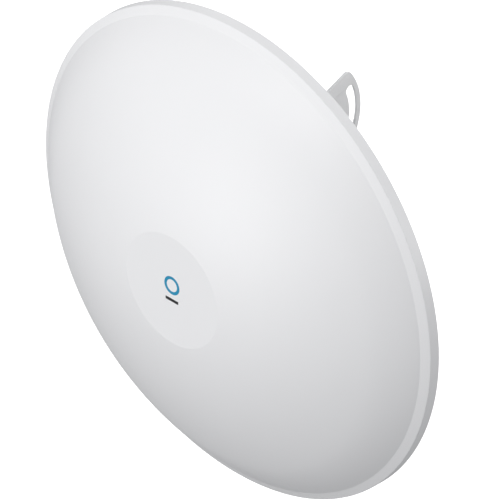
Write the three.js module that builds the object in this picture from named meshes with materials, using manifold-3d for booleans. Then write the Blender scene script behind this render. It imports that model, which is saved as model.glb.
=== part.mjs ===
// Outdoor point-to-point wireless bridge: a 520 mm dish behind a domed radome, with the radio in its feed,
// held on a mast by a clamp with an elevation slot.
// Millimetres, +Z up. The beam leaves along -Y. The origin is on the mast's axis, half way up the clamp.
// Every piece is modelled about the dish: its axis is the line X = 0, Z = 0, and Y = 0 is the plane where
// the radome's dome meets its rim band. One group then moves the lot to the mast's frame.
import * as THREE from "three";
import { mergeVertices } from "three/addons/utils/BufferGeometryUtils.js";
import Module from "manifold-3d";

const wasm = await Module();
wasm.setup();

const GAP = 0.3;
const SHEET = 3;
const RAD = Math.PI / 180;
const RIM_FACETS = 48;

// Radome: a flat centre, a spherical dome and a short rim band, moulded with a solid rail for its screws.
const RADOME = { flatR: 61.4, flatY: -80.2, creaseR: 253.4, bandR: 259.8, bandY: 7.7, rimR: 260, backY: 19.5 };
const RADOME_WALL = 2.7;
const RAIL = { innerR: 247.5, seatY: 11.2 };
const RIM_SCREWS = { count: 8, circleR: 252.4, shankR: 1.8, headR: 3.8, headHeight: 2.6, tipY: 7.2 };
const SCREW_HOLE_R = 2.1;

// Reflector: a paraboloid of 165 mm focal length with a flat stamped centre and a flat rim flange.
const FOCAL_LENGTH = 165;
const DISH = { apertureR: 246, flangeR: 256.4, flangeY: 13, flatR: 84, sheet: 1.5, neckHoleR: 25.4 };
const DISH_VERTEX_Y = DISH.flangeY + DISH.apertureR ** 2 / (4 * FOCAL_LENGTH);
const FLAT_FRONT_Y = DISH_VERTEX_Y - DISH.flatR ** 2 / (4 * FOCAL_LENGTH);
const FLAT_BACK_Y = FLAT_FRONT_Y + DISH.sheet;
const CLAMP_RING = { innerR: 248.5, frontY: DISH.flangeY + DISH.sheet + GAP, depth: 2.5 };

// Feed: a tube on the dish's axis that holds the radio board, with the sub-reflector at its tip.
const FEED = { outerR: 25, innerR: 22.6, tipY: -38, neckEndY: 118, collarR: 33.5, collarDepth: 4 };
const FEED_CAP_TIP_Y = -72;
const LOCK_RING_R = 30;
const BOARD = { halfThickness: 0.8, halfHeight: 20, frontY: 14, backY: 150 };
const JACK = { x0: 1.1, x1: 14.6, y0: 126, y1: 142, z0: -23, z1: -2 };

// Rear housing: a barrel with a flat underside, closed by a cap and a hinged port cover.
const HOUSING = { outerR: 38, wall: 2.5, frontY: FLAT_BACK_Y + 2.1, backY: 150, flatZ: -33 };
const CAP = { frontY: 150.3, backY: 164, bevel: 4, screwOffset: 21.2, screwBossR: 6 };
const PORT = { x: 15.5, y0: 112, y1: 146 };
const COVER = { x: 17.8, y0: 107, y1: 149, z0: -36, z1: HOUSING.flatZ - GAP };
const COVER_HINGE = { y: 103.6, z: -35.6, pinR: 1.2, knuckleR: 2.4, lugX0: 11, lugX1: 16 };
const CABLE_HOLE_R = 3.5;
const GROMMET_R = 6.2;

// Dish bracket: a base plate on the back of the dish, with a fan-shaped fin folded back from its edge.
const EARTH = { x: 25.5, z: -51, holeR: 2.8 };
const BASE = { halfX: 53, halfZ: 60, cornerR: 10, cutoutR: 41, boltX: 40, boltZ: 47 };
const BASE_FRONT_Y = FLAT_BACK_Y + GAP;
const FIN_X = -53;
const PIVOT = { y: 155.5, z: 41.8 };
const FIN = { outerR: 72.8, slotR: 62.4, slotHalf: 5.2, slotTop: 21.5 * RAD, slotBottom: -53 * RAD, edgeOffset: 22.3 };
const FIN_CORNER = 5;
const SLOT_BOLT_ANGLE = -33 * RAD;
const SLOT_BOLT = {
  y: PIVOT.y + FIN.slotR * Math.cos(SLOT_BOLT_ANGLE),
  z: PIVOT.z + FIN.slotR * Math.sin(SLOT_BOLT_ANGLE),
};

// Pole bracket and jaw: two folded channels with toothed 120 degree notches, here round a 50 mm mast.
const MAST_R = 25;
const NOTCH_HALF_ANGLE = 60 * RAD;
const NOTCH_DEPTH = MAST_R / Math.sin(NOTCH_HALF_ANGLE);
const NOTCH_HALF_MOUTH = 32;
const TOOTH = { count: 7, depth: 1.4 };
const CLAMP = { webY: 150, halfHeight: 32, halfWidth: 56, boltX: 42, notchStandOff: 11 };
const MAST = { x: -116, y: CLAMP.webY + CLAMP.notchStandOff + NOTCH_DEPTH, z: -60 };
const JAW_GAP = 20;
const ARM_X = FIN_X - GAP - SHEET;

// Thread sizes: the radius of the shank, then the flats, height and washer of its head or nut.
const M6 = { r: 3, headR: 5.8, head: 4.2, flangeR: 7, flange: 1.2 };
const M8 = { r: 4, headR: 7.4, head: 5, flangeR: 8.6, flange: 1.4 };
const M10 = { r: 5, headR: 9.2, head: 6, flangeR: 10.4, flange: 1.8 };

const finishes = {
  radome: finish(0xe9e9eb, 0.42, 0),
  paintedDish: finish(0xdddde0, 0.5, 0.1),
  galvanised: finish(0xc9ccd0, 0.42, 0.75),
  zincBolt: finish(0xb8bcc2, 0.32, 0.9),
  aluminium: finish(0xc4c6c9, 0.38, 0.85),
  housing: finish(0xe4e4e6, 0.5, 0),
  rubber: finish(0x2c2d30, 0.85, 0),
  board: finish(0x1f5a38, 0.55, 0),
  tinned: finish(0xb9bbbd, 0.35, 0.9),
  lens: finish(0xd7e0e8, 0.2, 0),
  darkPlastic: finish(0x3a3c40, 0.6, 0),
};

const bridge = new THREE.Group();
const aboutDish = new THREE.Group();
aboutDish.position.set(-MAST.x, -MAST.y, -MAST.z);
bridge.add(aboutDish);

function finish(color, roughness, metalness) {
  return new THREE.MeshStandardMaterial({ color, roughness, metalness });
}

function add(name, geometry, material, position = [0, 0, 0]) {
  const mesh = new THREE.Mesh(geometry, material);
  mesh.name = name;
  mesh.position.set(...position);
  aboutDish.add(mesh);
  return mesh;
}

// Joining and cutting ------------------------------------------------------------------------------------

function solidFrom(geometry) {
  const bare = geometry.clone();
  bare.deleteAttribute("normal");
  bare.deleteAttribute("uv");
  const merged = mergeVertices(bare, 1e-4);
  const vertProperties = merged.attributes.position.array;
  const triVerts = new Uint32Array(merged.index.array);
  return new wasm.Manifold(new wasm.Mesh({ numProp: 3, vertProperties, triVerts }));
}

function geometryFrom(solid) {
  const { vertProperties, triVerts } = solid.getMesh();
  const geometry = new THREE.BufferGeometry();
  geometry.setAttribute("position", new THREE.BufferAttribute(vertProperties, 3));
  geometry.setIndex(new THREE.BufferAttribute(triVerts, 1));
  geometry.computeVertexNormals();
  return geometry;
}

function join(...pieces) {
  const solids = pieces.map(solidFrom);
  return geometryFrom(solids.reduce((whole, next) => whole.add(next)));
}

function cut(body, ...tools) {
  const solids = tools.map(solidFrom);
  return geometryFrom(solids.reduce((left, tool) => left.subtract(tool), solidFrom(body)));
}

function common(body, tool) {
  return geometryFrom(solidFrom(body).intersect(solidFrom(tool)));
}

// Plain shapes -------------------------------------------------------------------------------------------

// A profile of [radius, y] points, turned about the Y axis. A ring repeats its first point at the end.
function turned(profile, segments = 24) {
  const points = profile.map(([r, y]) => new THREE.Vector2(r, y));
  return new THREE.LatheGeometry(points, segments);
}

function tube(innerR, outerR, fromY, toY, segments = 32) {
  const profile = [[innerR, fromY], [outerR, fromY], [outerR, toY], [innerR, toY], [innerR, fromY]];
  return turned(profile, segments);
}

function rodY(radius, fromY, toY, x = 0, z = 0, sides = 12) {
  const rod = new THREE.CylinderGeometry(radius, radius, toY - fromY, sides);
  return rod.translate(x, (fromY + toY) / 2, z);
}

function rodX(radius, fromX, toX, y, z, sides = 12) {
  const rod = new THREE.CylinderGeometry(radius, radius, toX - fromX, sides);
  return rod.rotateZ(-Math.PI / 2).translate((fromX + toX) / 2, y, z);
}

function rodZ(radius, fromZ, toZ, x, y, sides = 16) {
  const rod = new THREE.CylinderGeometry(radius, radius, toZ - fromZ, sides);
  return rod.rotateX(Math.PI / 2).translate(x, y, (fromZ + toZ) / 2);
}

function block(x0, x1, y0, y1, z0, z1) {
  const box = new THREE.BoxGeometry(x1 - x0, y1 - y0, z1 - z0);
  return box.translate((x0 + x1) / 2, (y0 + y1) / 2, (z0 + z1) / 2);
}

function extruded(outline, depth, curveSegments) {
  return new THREE.ExtrudeGeometry(outline, { depth, bevelEnabled: false, curveSegments });
}

// An outline in (Y, Z), as a plate that faces along X.
function plateFacingX(outline, fromX, toX, curveSegments = 6) {
  const turn = new THREE.Matrix4().makeBasis(
    new THREE.Vector3(0, 1, 0),
    new THREE.Vector3(0, 0, 1),
    new THREE.Vector3(1, 0, 0),
  );
  return extruded(outline, toX - fromX, curveSegments).applyMatrix4(turn).translate(fromX, 0, 0);
}

// An outline in (X, Z), as a plate that faces along Y.
function plateFacingY(outline, fromY, toY, curveSegments = 6) {
  return extruded(outline, toY - fromY, curveSegments).rotateX(Math.PI / 2).translate(0, toY, 0);
}

// An outline in (X, Y), as a plate that faces along Z.
function plateFacingZ(outline, fromZ, toZ, curveSegments = 6) {
  return extruded(outline, toZ - fromZ, curveSegments).translate(0, 0, fromZ);
}

function roundedRectangle(x0, x1, y0, y1, r) {
  const shape = new THREE.Shape();
  shape.absarc(x1 - r, y0 + r, r, -Math.PI / 2, 0, false);
  shape.absarc(x1 - r, y1 - r, r, 0, Math.PI / 2, false);
  shape.absarc(x0 + r, y1 - r, r, Math.PI / 2, Math.PI, false);
  shape.absarc(x0 + r, y0 + r, r, Math.PI, 1.5 * Math.PI, false);
  return shape;
}

function roundHole(x, y, r) {
  const hole = new THREE.Path();
  hole.absarc(x, y, r, 0, 2 * Math.PI, true);
  return hole;
}

function arcSlot(centre, meanR, half, from, to) {
  const slot = new THREE.Path();
  const end = (angle) => [centre.y + meanR * Math.cos(angle), centre.z + meanR * Math.sin(angle)];
  slot.absarc(centre.y, centre.z, meanR + half, from, to, false);
  slot.absarc(...end(to), half, to, to + Math.PI, false);
  slot.absarc(centre.y, centre.z, meanR - half, to, from, true);
  slot.absarc(...end(from), half, from + Math.PI, from + 2 * Math.PI, false);
  return slot;
}

// A hex bolt along +Y: the underside of its flanged head is at y = 0 and its shank runs to y = -length.
function flangeBolt(size, length) {
  const shank = rodY(size.r, -length, size.flange / 2);
  const flange = rodY(size.flangeR, 0, size.flange, 0, 0, 16);
  const hex = rodY(size.headR, size.flange / 2, size.flange + size.head, 0, 0, 6);
  return join(shank, flange, hex);
}

// A flanged nut along +Y, its flange at y = 0.
function flangeNut(size) {
  const flange = rodY(size.flangeR, 0, size.flange, 0, 0, 16);
  const hex = rodY(size.headR, size.flange / 2, size.flange + size.head, 0, 0, 6);
  return cut(join(flange, hex), rodY(size.r + GAP, -1, size.flange + size.head + 1));
}

// A pan-head screw along +Y: the underside of its head is at y = 0 and its shank runs to y = -length.
function panScrew(shankR, headR, headHeight, length) {
  return turned([[0, -length], [shankR, -length], [shankR, 0], [headR, 0], [headR, headHeight * 0.6],
    [headR * 0.7, headHeight], [0, headHeight]], 12);
}

// Radome and rim -----------------------------------------------------------------------------------------

// Points on the dome between two radii. The sphere's centre is on the axis, level with both crease circles.
function domePoints(fromR, toR, steps, inset) {
  const rise = RADOME.creaseR ** 2 - RADOME.flatR ** 2 - RADOME.flatY ** 2;
  const centreY = rise / (-2 * RADOME.flatY);
  const radius = Math.hypot(RADOME.creaseR, centreY) - inset;
  const points = [];
  for (let i = 0; i <= steps; i += 1) {
    const r = fromR + ((toR - fromR) * i) / steps;
    points.push([r, centreY - Math.sqrt(radius ** 2 - r ** 2)]);
  }
  return points;
}

function radomeCover() {
  const outer = domePoints(RADOME.flatR, RADOME.creaseR, 6, 0);
  const inner = domePoints(RADOME.flatR, RAIL.innerR, 6, RADOME_WALL).reverse();
  const skirtR = RADOME.rimR - RADOME_WALL;
  const shell = turned([
    [0, RADOME.flatY],
    ...outer,
    [RADOME.bandR, RADOME.bandY],
    [RADOME.rimR, RADOME.backY],
    [skirtR, RADOME.backY],
    [skirtR, RAIL.seatY],
    [RAIL.innerR, RAIL.seatY],
    ...inner,
    [0, inner.at(-1)[1]],
  ], RIM_FACETS);
  return cut(shell, ...rimHoles(RIM_SCREWS.tipY - 1, RAIL.seatY + 1));
}

function rimPositions() {
  const step = (2 * Math.PI) / RIM_SCREWS.count;
  return Array.from({ length: RIM_SCREWS.count }, (_, i) => {
    const angle = (i + 0.5) * step;
    return [RIM_SCREWS.circleR * Math.cos(angle), RIM_SCREWS.circleR * Math.sin(angle)];
  });
}

function rimHoles(fromY, toY) {
  return rimPositions().map(([x, z]) => rodY(SCREW_HOLE_R, fromY, toY, x, z, 12));
}

function rimGasket() {
  const ring = tube(RAIL.innerR + 1, DISH.flangeR, RAIL.seatY + GAP, DISH.flangeY - GAP, RIM_FACETS);
  return cut(ring, ...rimHoles(RAIL.seatY, DISH.flangeY));
}

function reflectorDish() {
  const front = [];
  const steps = 6;
  for (let i = 0; i <= steps; i += 1) {
    const r = DISH.flatR + ((DISH.apertureR - DISH.flatR) * i) / steps;
    front.push([r, DISH_VERTEX_Y - r ** 2 / (4 * FOCAL_LENGTH)]);
  }
  const back = front.map(([r, y]) => [r, y + DISH.sheet]).reverse();
  const sheet = turned([
    [DISH.neckHoleR, FLAT_BACK_Y],
    [DISH.neckHoleR, FLAT_FRONT_Y],
    ...front,
    [DISH.flangeR, DISH.flangeY],
    [DISH.flangeR, DISH.flangeY + DISH.sheet],
    ...back,
    [DISH.neckHoleR, FLAT_BACK_Y],
  ], RIM_FACETS);
  const flangeHoles = rimHoles(DISH.flangeY - 1, DISH.flangeY + DISH.sheet + 1);
  return cut(sheet, ...flangeHoles, ...baseBoltHoles(FLAT_FRONT_Y - 1, FLAT_BACK_Y + 1));
}

function rimClampRing() {
  const { innerR, frontY, depth } = CLAMP_RING;
  return cut(tube(innerR, DISH.flangeR, frontY, frontY + depth, RIM_FACETS), ...rimHoles(frontY - 1, frontY + depth + 1));
}

function addRim() {
  add("radome_cover", radomeCover(), finishes.radome);
  add("rim_gasket", rimGasket(), finishes.rubber);
  add("reflector_dish", reflectorDish(), finishes.paintedDish);
  add("rim_clamp_ring", rimClampRing(), finishes.aluminium);
  const headY = CLAMP_RING.frontY + CLAMP_RING.depth + GAP;
  const length = headY - RIM_SCREWS.tipY;
  rimPositions().forEach(([x, z], i) => {
    const screw = panScrew(RIM_SCREWS.shankR, RIM_SCREWS.headR, RIM_SCREWS.headHeight, length);
    add(`rim_screw_${i + 1}`, screw, finishes.zincBolt, [x, headY, z]);
  });
}

// Feed and radio -----------------------------------------------------------------------------------------

function feedTube() {
  const { outerR, innerR, tipY, neckEndY, collarR, collarDepth } = FEED;
  const collarBack = FLAT_FRONT_Y - GAP;
  return turned([
    [innerR, tipY],
    [outerR, tipY],
    [outerR, collarBack - collarDepth],
    [collarR, collarBack - collarDepth],
    [collarR, collarBack],
    [outerR, collarBack],
    [outerR, neckEndY],
    [innerR, neckEndY],
    [innerR, tipY],
  ], 32);
}

function feedCap() {
  const wall = FEED.outerR - FEED.innerR;
  const shoulderY = FEED_CAP_TIP_Y + 14;
  return turned([
    [0, FEED_CAP_TIP_Y],
    [16, FEED_CAP_TIP_Y + 1],
    [22.5, shoulderY - 8],
    [FEED.outerR, shoulderY],
    [FEED.outerR, FEED.tipY - GAP],
    [FEED.innerR, FEED.tipY - GAP],
    [FEED.innerR, shoulderY],
    [20, shoulderY - 7],
    [15, FEED_CAP_TIP_Y + 1 + wall],
    [0, FEED_CAP_TIP_Y + wall],
  ], 32);
}

function subReflector() {
  const frontY = FEED_CAP_TIP_Y + 5;
  return turned([[0, frontY], [14, frontY + 0.6], [17, frontY + 2.2], [17, frontY + 3.6], [5, frontY + 3.6],
    [0, frontY + 9]], 24);
}

function feedHorn() {
  const backY = BOARD.frontY - 2;
  return turned([[16.4, -34], [19.4, -34], [18, -24], [18, backY], [0, backY], [0, backY - 1.6], [16.4, backY - 1.6],
    [16.4, -34]], 24);
}

function mainBoard() {
  const { halfThickness, halfHeight, frontY, backY } = BOARD;
  return block(-halfThickness, halfThickness, frontY, backY, -halfHeight, halfHeight);
}

function rfShield() {
  return block(BOARD.halfThickness + GAP, 6.1, 24, 70, -13, 13);
}

function heatSpreader() {
  const plate = block(-9.1, -BOARD.halfThickness - GAP, 22, 100, -15, 15);
  const grooves = [-10, -5, 0, 5, 10].map((z) => block(-9.6, -4.5, 21, 101, z - 1.2, z + 1.2));
  return cut(plate, ...grooves);
}

function ethernetJack() {
  const { x0, x1, y0, y1, z0, z1 } = JACK;
  const body = block(x0, x1, y0, y1, z0, z1);
  const plugSpace = block(x0 + 3, x1 - 2.5, y0 + 2.1, y1 - 2.1, z0 - 1, z0 + 17);
  const latchSpace = block(x0 + 1.2, x0 + 4, y0 + 5, y1 - 5, z0 - 1, z0 + 12);
  return cut(body, plugSpace, latchSpace);
}

function lockRing() {
  const frontY = HOUSING.frontY + SHEET + GAP;
  const ring = tube(FEED.outerR + GAP, LOCK_RING_R, frontY, frontY + 8, 32);
  const step = Math.PI / 3;
  const grips = Array.from({ length: 6 }, (_, i) => (
    rodY(2.2, frontY - 1, frontY + 9, LOCK_RING_R * Math.cos(i * step), LOCK_RING_R * Math.sin(i * step), 12)
  ));
  return cut(ring, ...grips);
}

function backingPlate() {
  const outline = roundedRectangle(-BASE.halfX, BASE.halfX, -BASE.halfZ, BASE.halfZ, BASE.cornerR);
  outline.holes.push(roundHole(0, 0, FEED.collarR + 2));
  const backY = FLAT_FRONT_Y - GAP;
  return cut(plateFacingY(outline, backY - SHEET, backY, 10), ...baseBoltHoles(backY - SHEET - 1, backY + 1));
}

function resetSwitch() {
  return block(BOARD.halfThickness + GAP, 6.4, 143.4, 149.4, -18, -11);
}

function resetButton() {
  return rodZ(1.75, -26, -18.9, 3.8, 146.4, 16);
}

function addFeed() {
  add("feed_tube", feedTube(), finishes.housing);
  add("feed_cap", feedCap(), finishes.housing);
  add("sub_reflector", subReflector(), finishes.aluminium);
  add("feed_horn", feedHorn(), finishes.aluminium);
  add("main_board", mainBoard(), finishes.board);
  add("rf_shield", rfShield(), finishes.tinned);
  add("heat_spreader", heatSpreader(), finishes.aluminium);
  add("ethernet_jack", ethernetJack(), finishes.tinned);
  add("feed_lock_ring", lockRing(), finishes.darkPlastic);
  add("backing_plate", backingPlate(), finishes.galvanised);
  add("reset_switch", resetSwitch(), finishes.darkPlastic);
  add("reset_button", resetButton(), finishes.darkPlastic);
}

// Rear housing -------------------------------------------------------------------------------------------

function aboveFlat(geometry, flatZ) {
  const reach = HOUSING.outerR + 5;
  return common(geometry, block(-reach, reach, 0, 300, flatZ, reach));
}

function capCorners() {
  const o = CAP.screwOffset;
  return [[o, o], [-o, o], [-o, -o], [o, -o]];
}

function rearHousing() {
  const { outerR, wall, frontY, backY, flatZ } = HOUSING;
  const innerR = outerR - wall;
  const barrel = aboveFlat(rodY(outerR, frontY, backY, 0, 0, 32), flatZ);
  const hollow = aboveFlat(rodY(innerR, frontY + SHEET, backY + 1, 0, 0, 32), flatZ + wall);
  const neck = rodY(FEED.outerR + GAP, frontY - 1, frontY + SHEET + 1, 0, 0, 32);
  const portHole = block(-PORT.x, PORT.x, PORT.y0, PORT.y1, flatZ - 1, flatZ + wall + 1);
  const bosses = capCorners().map(([x, z]) => rodY(CAP.screwBossR, backY - 12, backY, x, z, 16));
  const bossHoles = capCorners().map(([x, z]) => rodY(SCREW_HOLE_R, backY - 10, backY + 1, x, z, 12));
  const lugs = [-1, 1].map((side) => hingeLug(side));
  return cut(join(cut(barrel, hollow, neck, portHole), ...bosses, ...lugs), ...bossHoles, hingePinHole());
}

function hingeLug(side) {
  const { y, z, knuckleR, lugX0, lugX1 } = COVER_HINGE;
  const outline = new THREE.Shape();
  outline.absarc(y, z, knuckleR, Math.PI, 2 * Math.PI, false);
  outline.lineTo(y + knuckleR, HOUSING.flatZ + 1);
  outline.lineTo(y - knuckleR, HOUSING.flatZ + 1);
  const fromX = side > 0 ? lugX0 : -lugX1;
  return plateFacingX(outline, fromX, fromX + lugX1 - lugX0);
}

function hingePinHole() {
  const { y, z, pinR, lugX1 } = COVER_HINGE;
  return rodX(pinR + GAP, -lugX1 - 1, lugX1 + 1, y, z, 12);
}

function housingSeal() {
  return tube(27, 36.5, FLAT_BACK_Y + GAP, HOUSING.frontY - GAP, 32);
}

function rearCap() {
  const { frontY, backY, bevel } = CAP;
  const { outerR, wall, flatZ } = HOUSING;
  const innerR = outerR - wall;
  const outside = aboveFlat(turned([[0, frontY], [outerR, frontY], [outerR, backY - bevel], [outerR - bevel, backY],
    [0, backY]], 32), flatZ);
  const inside = aboveFlat(rodY(innerR, frontY - 1, backY - wall - 1, 0, 0, 32), flatZ + wall);
  const bosses = capCorners().map(([x, z]) => rodY(CAP.screwBossR, frontY, backY - wall, x, z, 16));
  const holes = capCorners().map(([x, z]) => rodY(SCREW_HOLE_R, frontY - 1, backY + 1, x, z, 12));
  const counterbores = capCorners().map(([x, z]) => rodY(4.3, backY - 2.6, backY + 1, x, z, 16));
  const windowSeat = plateFacingY(roundedRectangle(-11.3, 11.3, 6.7, 12.3, 2.6), backY - 1.2, backY + 1);
  const ventHole = rodY(3.4, frontY, backY + 1, 0, -20, 16);
  return cut(join(cut(outside, inside), ...bosses), ...holes, ...counterbores, windowSeat, ventHole);
}

function ledWindow() {
  return plateFacingY(roundedRectangle(-11, 11, 7, 12, 2.4), CAP.backY - 0.9, CAP.backY + 0.4);
}

function ventPlug() {
  const backY = CAP.backY;
  const profile = [[0, backY - 7], [3, backY - 7], [3, backY + GAP], [6.5, backY + GAP], [6.5, backY + 1.8],
    [5, backY + 3], [0, backY + 3]];
  return turned(profile, 24).translate(0, 0, -20);
}

function portCover() {
  const { x, y0, y1, z0, z1 } = COVER;
  const { y, z, pinR, knuckleR, lugX0 } = COVER_HINGE;
  const plate = plateFacingZ(roundedRectangle(-x, x, y0, y1, 3), z0, z1);
  const knuckle = rodX(knuckleR, -lugX0 + GAP, lugX0 - GAP, y, z, 16);
  const web = block(-lugX0 + GAP, lugX0 - GAP, y, y0 + 2, z0, z0 + 2);
  const thumbLip = block(-7, 7, y1 - 1, y1 + 2.4, z0, z0 + 1.6);
  const centre = jackCentre();
  const cableHole = rodZ(GROMMET_R - 1.2 + GAP, z0 - 1, z1 + 1, centre.x, centre.y, 24);
  return cut(join(plate, knuckle, web, thumbLip), cableHole, rodX(pinR + GAP, -x, x, y, z, 12));
}

function jackCentre() {
  return { x: (JACK.x0 + JACK.x1) / 2, y: (JACK.y0 + JACK.y1) / 2 };
}

// A rubber bush that grips the port cover's edge in a groove: flange outside, flange inside, waist between.
function cableGrommet() {
  const { z0, z1 } = COVER;
  const waist = GROMMET_R - 1.2;
  const centre = jackCentre();
  const profile = [
    [CABLE_HOLE_R, z0 - 1.8],
    [GROMMET_R, z0 - 1.8],
    [GROMMET_R, z0 - GAP],
    [waist, z0 - GAP],
    [waist, z1 + GAP],
    [GROMMET_R, z1 + GAP],
    [GROMMET_R, z1 + 1.6],
    [CABLE_HOLE_R, z1 + 1.6],
    [CABLE_HOLE_R, z0 - 1.8],
  ];
  return turned(profile, 24).rotateX(Math.PI / 2).translate(centre.x, centre.y, 0);
}

function addRearHousing() {
  const { y, z, pinR, lugX1 } = COVER_HINGE;
  add("rear_housing", rearHousing(), finishes.housing);
  add("housing_seal", housingSeal(), finishes.rubber);
  add("rear_cap", rearCap(), finishes.housing);
  add("led_window", ledWindow(), finishes.lens);
  add("vent_plug", ventPlug(), finishes.darkPlastic);
  capCorners().forEach(([x, cornerZ], i) => {
    const screw = panScrew(RIM_SCREWS.shankR, 3.8, 2, 14);
    add(`cap_screw_${i + 1}`, screw, finishes.zincBolt, [x, CAP.backY - 2.6 + GAP, cornerZ]);
  });
  add("port_cover", portCover(), finishes.housing);
  add("port_cover_pin", rodX(pinR, -lugX1, lugX1, y, z, 12), finishes.zincBolt);
  add("cable_grommet", cableGrommet(), finishes.rubber);
}

// Dish bracket -------------------------------------------------------------------------------------------

function baseBoltPositions() {
  const { boltX, boltZ } = BASE;
  return [[boltX, boltZ], [-boltX, boltZ], [-boltX, -boltZ], [boltX, -boltZ]];
}

function baseBoltHoles(fromY, toY) {
  return baseBoltPositions().map(([x, z]) => rodY(M6.r + GAP, fromY, toY, x, z));
}

// The fin's outline in (Y, Z). Its upper edge runs straight from the fold to the rounded corner of the fan,
// and is parallel to the ray from the pivot to the slot's upper end.
function finOutline() {
  const { outerR, edgeOffset, slotTop, slotBottom } = FIN;
  const cornerTurn = Math.asin(edgeOffset / outerR);
  const rounding = FIN_CORNER / outerR;
  const top = slotTop + cornerTurn;
  const bottom = slotBottom - cornerTurn;
  const onArc = (angle) => [PIVOT.y + outerR * Math.cos(angle), PIVOT.z + outerR * Math.sin(angle)];
  const [topY, topZ] = onArc(top);
  const [bottomY, bottomZ] = onArc(bottom);
  const rootTopZ = topZ - (topY - BASE_FRONT_Y) * Math.tan(slotTop);
  const outline = new THREE.Shape();
  outline.moveTo(BASE_FRONT_Y, -rootTopZ);
  outline.lineTo(bottomY - FIN_CORNER, bottomZ - FIN_CORNER * 0.15);
  outline.quadraticCurveTo(bottomY, bottomZ, ...onArc(bottom + rounding));
  outline.absarc(PIVOT.y, PIVOT.z, outerR, bottom + rounding, top - rounding, false);
  outline.quadraticCurveTo(topY, topZ, topY - FIN_CORNER * Math.cos(slotTop), topZ - FIN_CORNER * Math.sin(slotTop));
  outline.lineTo(BASE_FRONT_Y, rootTopZ);
  return outline;
}

function dishBracket() {
  const base = roundedRectangle(-BASE.halfX, BASE.halfX, -BASE.halfZ, BASE.halfZ, BASE.cornerR);
  base.holes.push(roundHole(0, 0, BASE.cutoutR));
  const fin = finOutline();
  fin.holes.push(arcSlot(PIVOT, FIN.slotR, FIN.slotHalf, FIN.slotBottom, FIN.slotTop));
  fin.holes.push(roundHole(PIVOT.y, PIVOT.z, M10.r + GAP));
  const backY = BASE_FRONT_Y + SHEET;
  const folded = join(plateFacingY(base, BASE_FRONT_Y, backY, 8), plateFacingX(fin, FIN_X, FIN_X + SHEET, 10));
  const earthHole = rodY(EARTH.holeR, BASE_FRONT_Y - 1, backY + 1, EARTH.x, EARTH.z);
  return cut(folded, ...baseBoltHoles(BASE_FRONT_Y - 1, backY + 1), earthHole);
}

function addDishBracket() {
  add("dish_bracket", dishBracket(), finishes.galvanised);
  const seatY = BASE_FRONT_Y + SHEET + GAP;
  baseBoltPositions().forEach(([x, z], i) => {
    add(`bracket_bolt_${i + 1}`, flangeBolt(M6, 12), finishes.zincBolt, [x, seatY, z]);
  });
  add("earth_washer", tube(EARTH.holeR, 6, seatY, seatY + 1, 20).translate(EARTH.x, 0, EARTH.z), finishes.zincBolt);
  add("earth_screw", panScrew(2.4, 4.8, 3.2, 4.4), finishes.zincBolt, [EARTH.x, seatY + 1 + GAP, EARTH.z]);
}

// Pole bracket and jaw -----------------------------------------------------------------------------------

// A channel flange with a toothed notch, as an outline in (X, Y) about the mast's axis. The web is at the
// flange's far end, away from the mast.
function notchedFlange(halfWidth, mouthY, webY) {
  const outline = new THREE.Shape();
  const slope = (mouthY - NOTCH_DEPTH) / NOTCH_HALF_MOUTH;
  outline.moveTo(-halfWidth, webY);
  outline.lineTo(halfWidth, webY);
  outline.lineTo(halfWidth, mouthY);
  outline.lineTo(NOTCH_HALF_MOUTH, mouthY);
  for (let i = 1; i < 2 * TOOTH.count; i += 1) {
    const x = NOTCH_HALF_MOUTH * (1 - i / TOOTH.count);
    const surfaceY = NOTCH_DEPTH + slope * Math.abs(x);
    outline.lineTo(x, surfaceY);
    outline.lineTo(x, surfaceY + TOOTH.depth);
  }
  outline.lineTo(-NOTCH_HALF_MOUTH, mouthY);
  return outline;
}

// The jaw in its own place: a web behind the mast and a notched flange above and below.
function channel(mouthY, webY) {
  const { halfHeight, halfWidth, boltX } = CLAMP;
  const flange = notchedFlange(halfWidth, mouthY, webY + SHEET);
  const web = block(-halfWidth, halfWidth, webY, webY + SHEET, -halfHeight, halfHeight);
  const top = plateFacingZ(flange, halfHeight - SHEET, halfHeight);
  const bottom = plateFacingZ(flange, -halfHeight, -halfHeight + SHEET);
  const holes = [-boltX, boltX].map((x) => rodY(M8.r + 2 * GAP, webY - 1, webY + SHEET + 1, x, 0));
  return cut(join(web, top, bottom), ...holes);
}

function jawMouth() {
  return JAW_GAP / 2;
}

function channelWebY() {
  return MAST.y - CLAMP.webY - SHEET;
}

function clampJaw() {
  return channel(jawMouth(), channelWebY() - 2);
}

// The arm's outline in (Y, Z): it runs from the channel's side up to the slot bolt and the pivot.
function armOutline() {
  const bottomZ = MAST.z - CLAMP.halfHeight;
  const topZ = MAST.z + CLAMP.halfHeight;
  const across = Math.PI / 2 + SLOT_BOLT_ANGLE;
  const outline = new THREE.Shape();
  outline.moveTo(CLAMP.webY, bottomZ);
  outline.lineTo(CLAMP.webY + 30, bottomZ);
  outline.lineTo(CLAMP.webY + 34, topZ - 18);
  outline.absarc(SLOT_BOLT.y, SLOT_BOLT.z, 12, -35 * RAD, across, false);
  outline.absarc(PIVOT.y, PIVOT.z, 16, across, 190 * RAD, false);
  outline.lineTo(CLAMP.webY, topZ + 20);
  outline.holes.push(roundHole(PIVOT.y, PIVOT.z, M10.r + GAP));
  outline.holes.push(roundHole(SLOT_BOLT.y, SLOT_BOLT.z, M10.r + GAP));
  return outline;
}

function poleBracket() {
  const inPlace = channel(jawMouth(), channelWebY()).rotateZ(Math.PI).translate(MAST.x, MAST.y, MAST.z);
  const arm = plateFacingX(armOutline(), ARM_X, ARM_X + SHEET, 10);
  const { webY, halfWidth, halfHeight } = CLAMP;
  const joinX = MAST.x + halfWidth - 1;
  const webEnd = block(joinX, ARM_X + 1, webY, webY + SHEET, MAST.z - halfHeight, MAST.z + halfHeight);
  return join(inPlace, webEnd, arm);
}

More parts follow.
